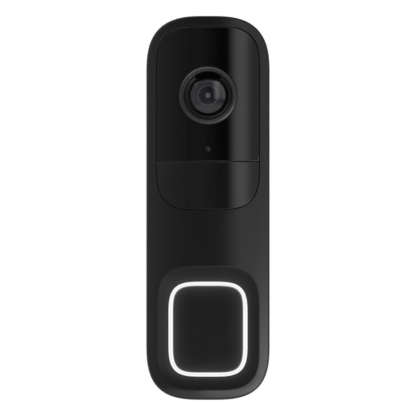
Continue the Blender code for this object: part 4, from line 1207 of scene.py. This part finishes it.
def make_floor():
    """A pale floor under the object, clear from underneath. Its far edge is out of the camera's view."""
    shape = bmesh.new()
    bmesh.ops.create_grid(shape, x_segments=8, y_segments=8, size=1.0)
    bmesh.ops.scale(shape, vec=(7.5, 5.2, 1), verts=shape.verts)
    bmesh.ops.translate(shape, vec=(0, 2.2, -FLOOR_BELOW), verts=shape.verts)
    floor = add_object("floor", shape)
    paint = Paint("pale_floor", (0.72, 0.72, 0.71), 0.8, Specular_IOR_Level=0.2)
    paint.shades(paint.noise(300.0, 3.0), 0.02)
    paint.shader.inputs["Emission Color"].default_value = (1, 1, 1, 1)
    away = paint.node("ShaderNodeVectorMath", "LENGTH", Vector=paint.space())
    as_seen = paint.spread(away.outputs["Value"], FLOOR_NEAR, FLOOR_FAR, 0.8, 3.2)
    camera_ray = paint.node("ShaderNodeLightPath").outputs["Is Camera Ray"]
    strength = paint.node("ShaderNodeMapRange", Value=camera_ray, To_Min=FLOOR_GLOW, To_Max=as_seen)
    paint.drive("Emission Strength", strength.outputs["Result"])
    underneath = paint.node("ShaderNodeNewGeometry").outputs["Backfacing"]
    paint.drive("Alpha", paint.spread(underneath, 1, 0, 0, 1))
    dress(floor, paint.material)


def make_camera():
    """Straight on, from far enough away that the sides don't show."""
    view_width, lens, sensor = 149.55 * MM, 385.0, 36.0
    camera = add_object("camera", bpy.data.cameras.new("camera"))
    camera.data.lens, camera.data.sensor_width = lens, sensor
    silhouette = 26 * MM
    camera.location = (0, -(silhouette + view_width * lens / sensor), 0)
    camera.rotation_euler = (math.pi / 2, 0, 0)
    bpy.context.scene.camera = camera


# ---------------- assembly


SLOTS = slot_materials()


def add_piece(obj, slot, *nodes, body="doorbell", paint=None):
    """A finished piece, in its slot's material unless it has a paint of its own."""
    dress(obj, paint.material if paint else SLOTS[slot])
    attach(obj, body)
    if nodes:
        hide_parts(*nodes)


def main():
    for part in frame["record"]["subparts"]:
        dress(frame["nodes"][part["node"]], SLOTS[part["material_slot"]])

    casing, inner = "housing_plastic", "inner_plastic"
    black = matt_black()
    add_piece(make_front_housing(), casing, "front_housing", paint=front_plastic())
    add_piece(make_rear_cover(), casing, "rear_cover")
    add_piece(make_wall_plate(), casing, "wall_plate", body="plate")
    add_piece(make_camera_window(), "gloss_panel", "camera_panel")
    add_piece(make_sensor_window(), "motion_window", "motion_window")
    add_piece(make_bezel(), "gloss_panel", "camera_bezel", paint=bezel_plastic())
    add_piece(make_barrel(), inner, "lens_barrel", paint=barrel_plastic())
    # painted shade: the matt black crescent over the glass
    add_piece(make_shade_crescent(), inner, paint=black)
    add_piece(make_front_glass(), "lens_glass", "lens_front_element", paint=outer_glass())
    add_piece(make_microphone_mesh(), inner, paint=black)
    add_piece(make_status_light(), "clear_plastic", "status_light_pipe")
    add_piece(make_light(), "light_guide", "light_ring")
    add_piece(make_cap(), casing, "button_cap", body="button", paint=cap_plastic())
    dress(frame["nodes"]["switch_plunger"], frosted_plastic().material)
    for node in ("microphone", "microphone_boot"):
        dress(frame["nodes"][node], black.material)

    make_floor()
    make_world()
    make_lights()
    make_camera()


main()
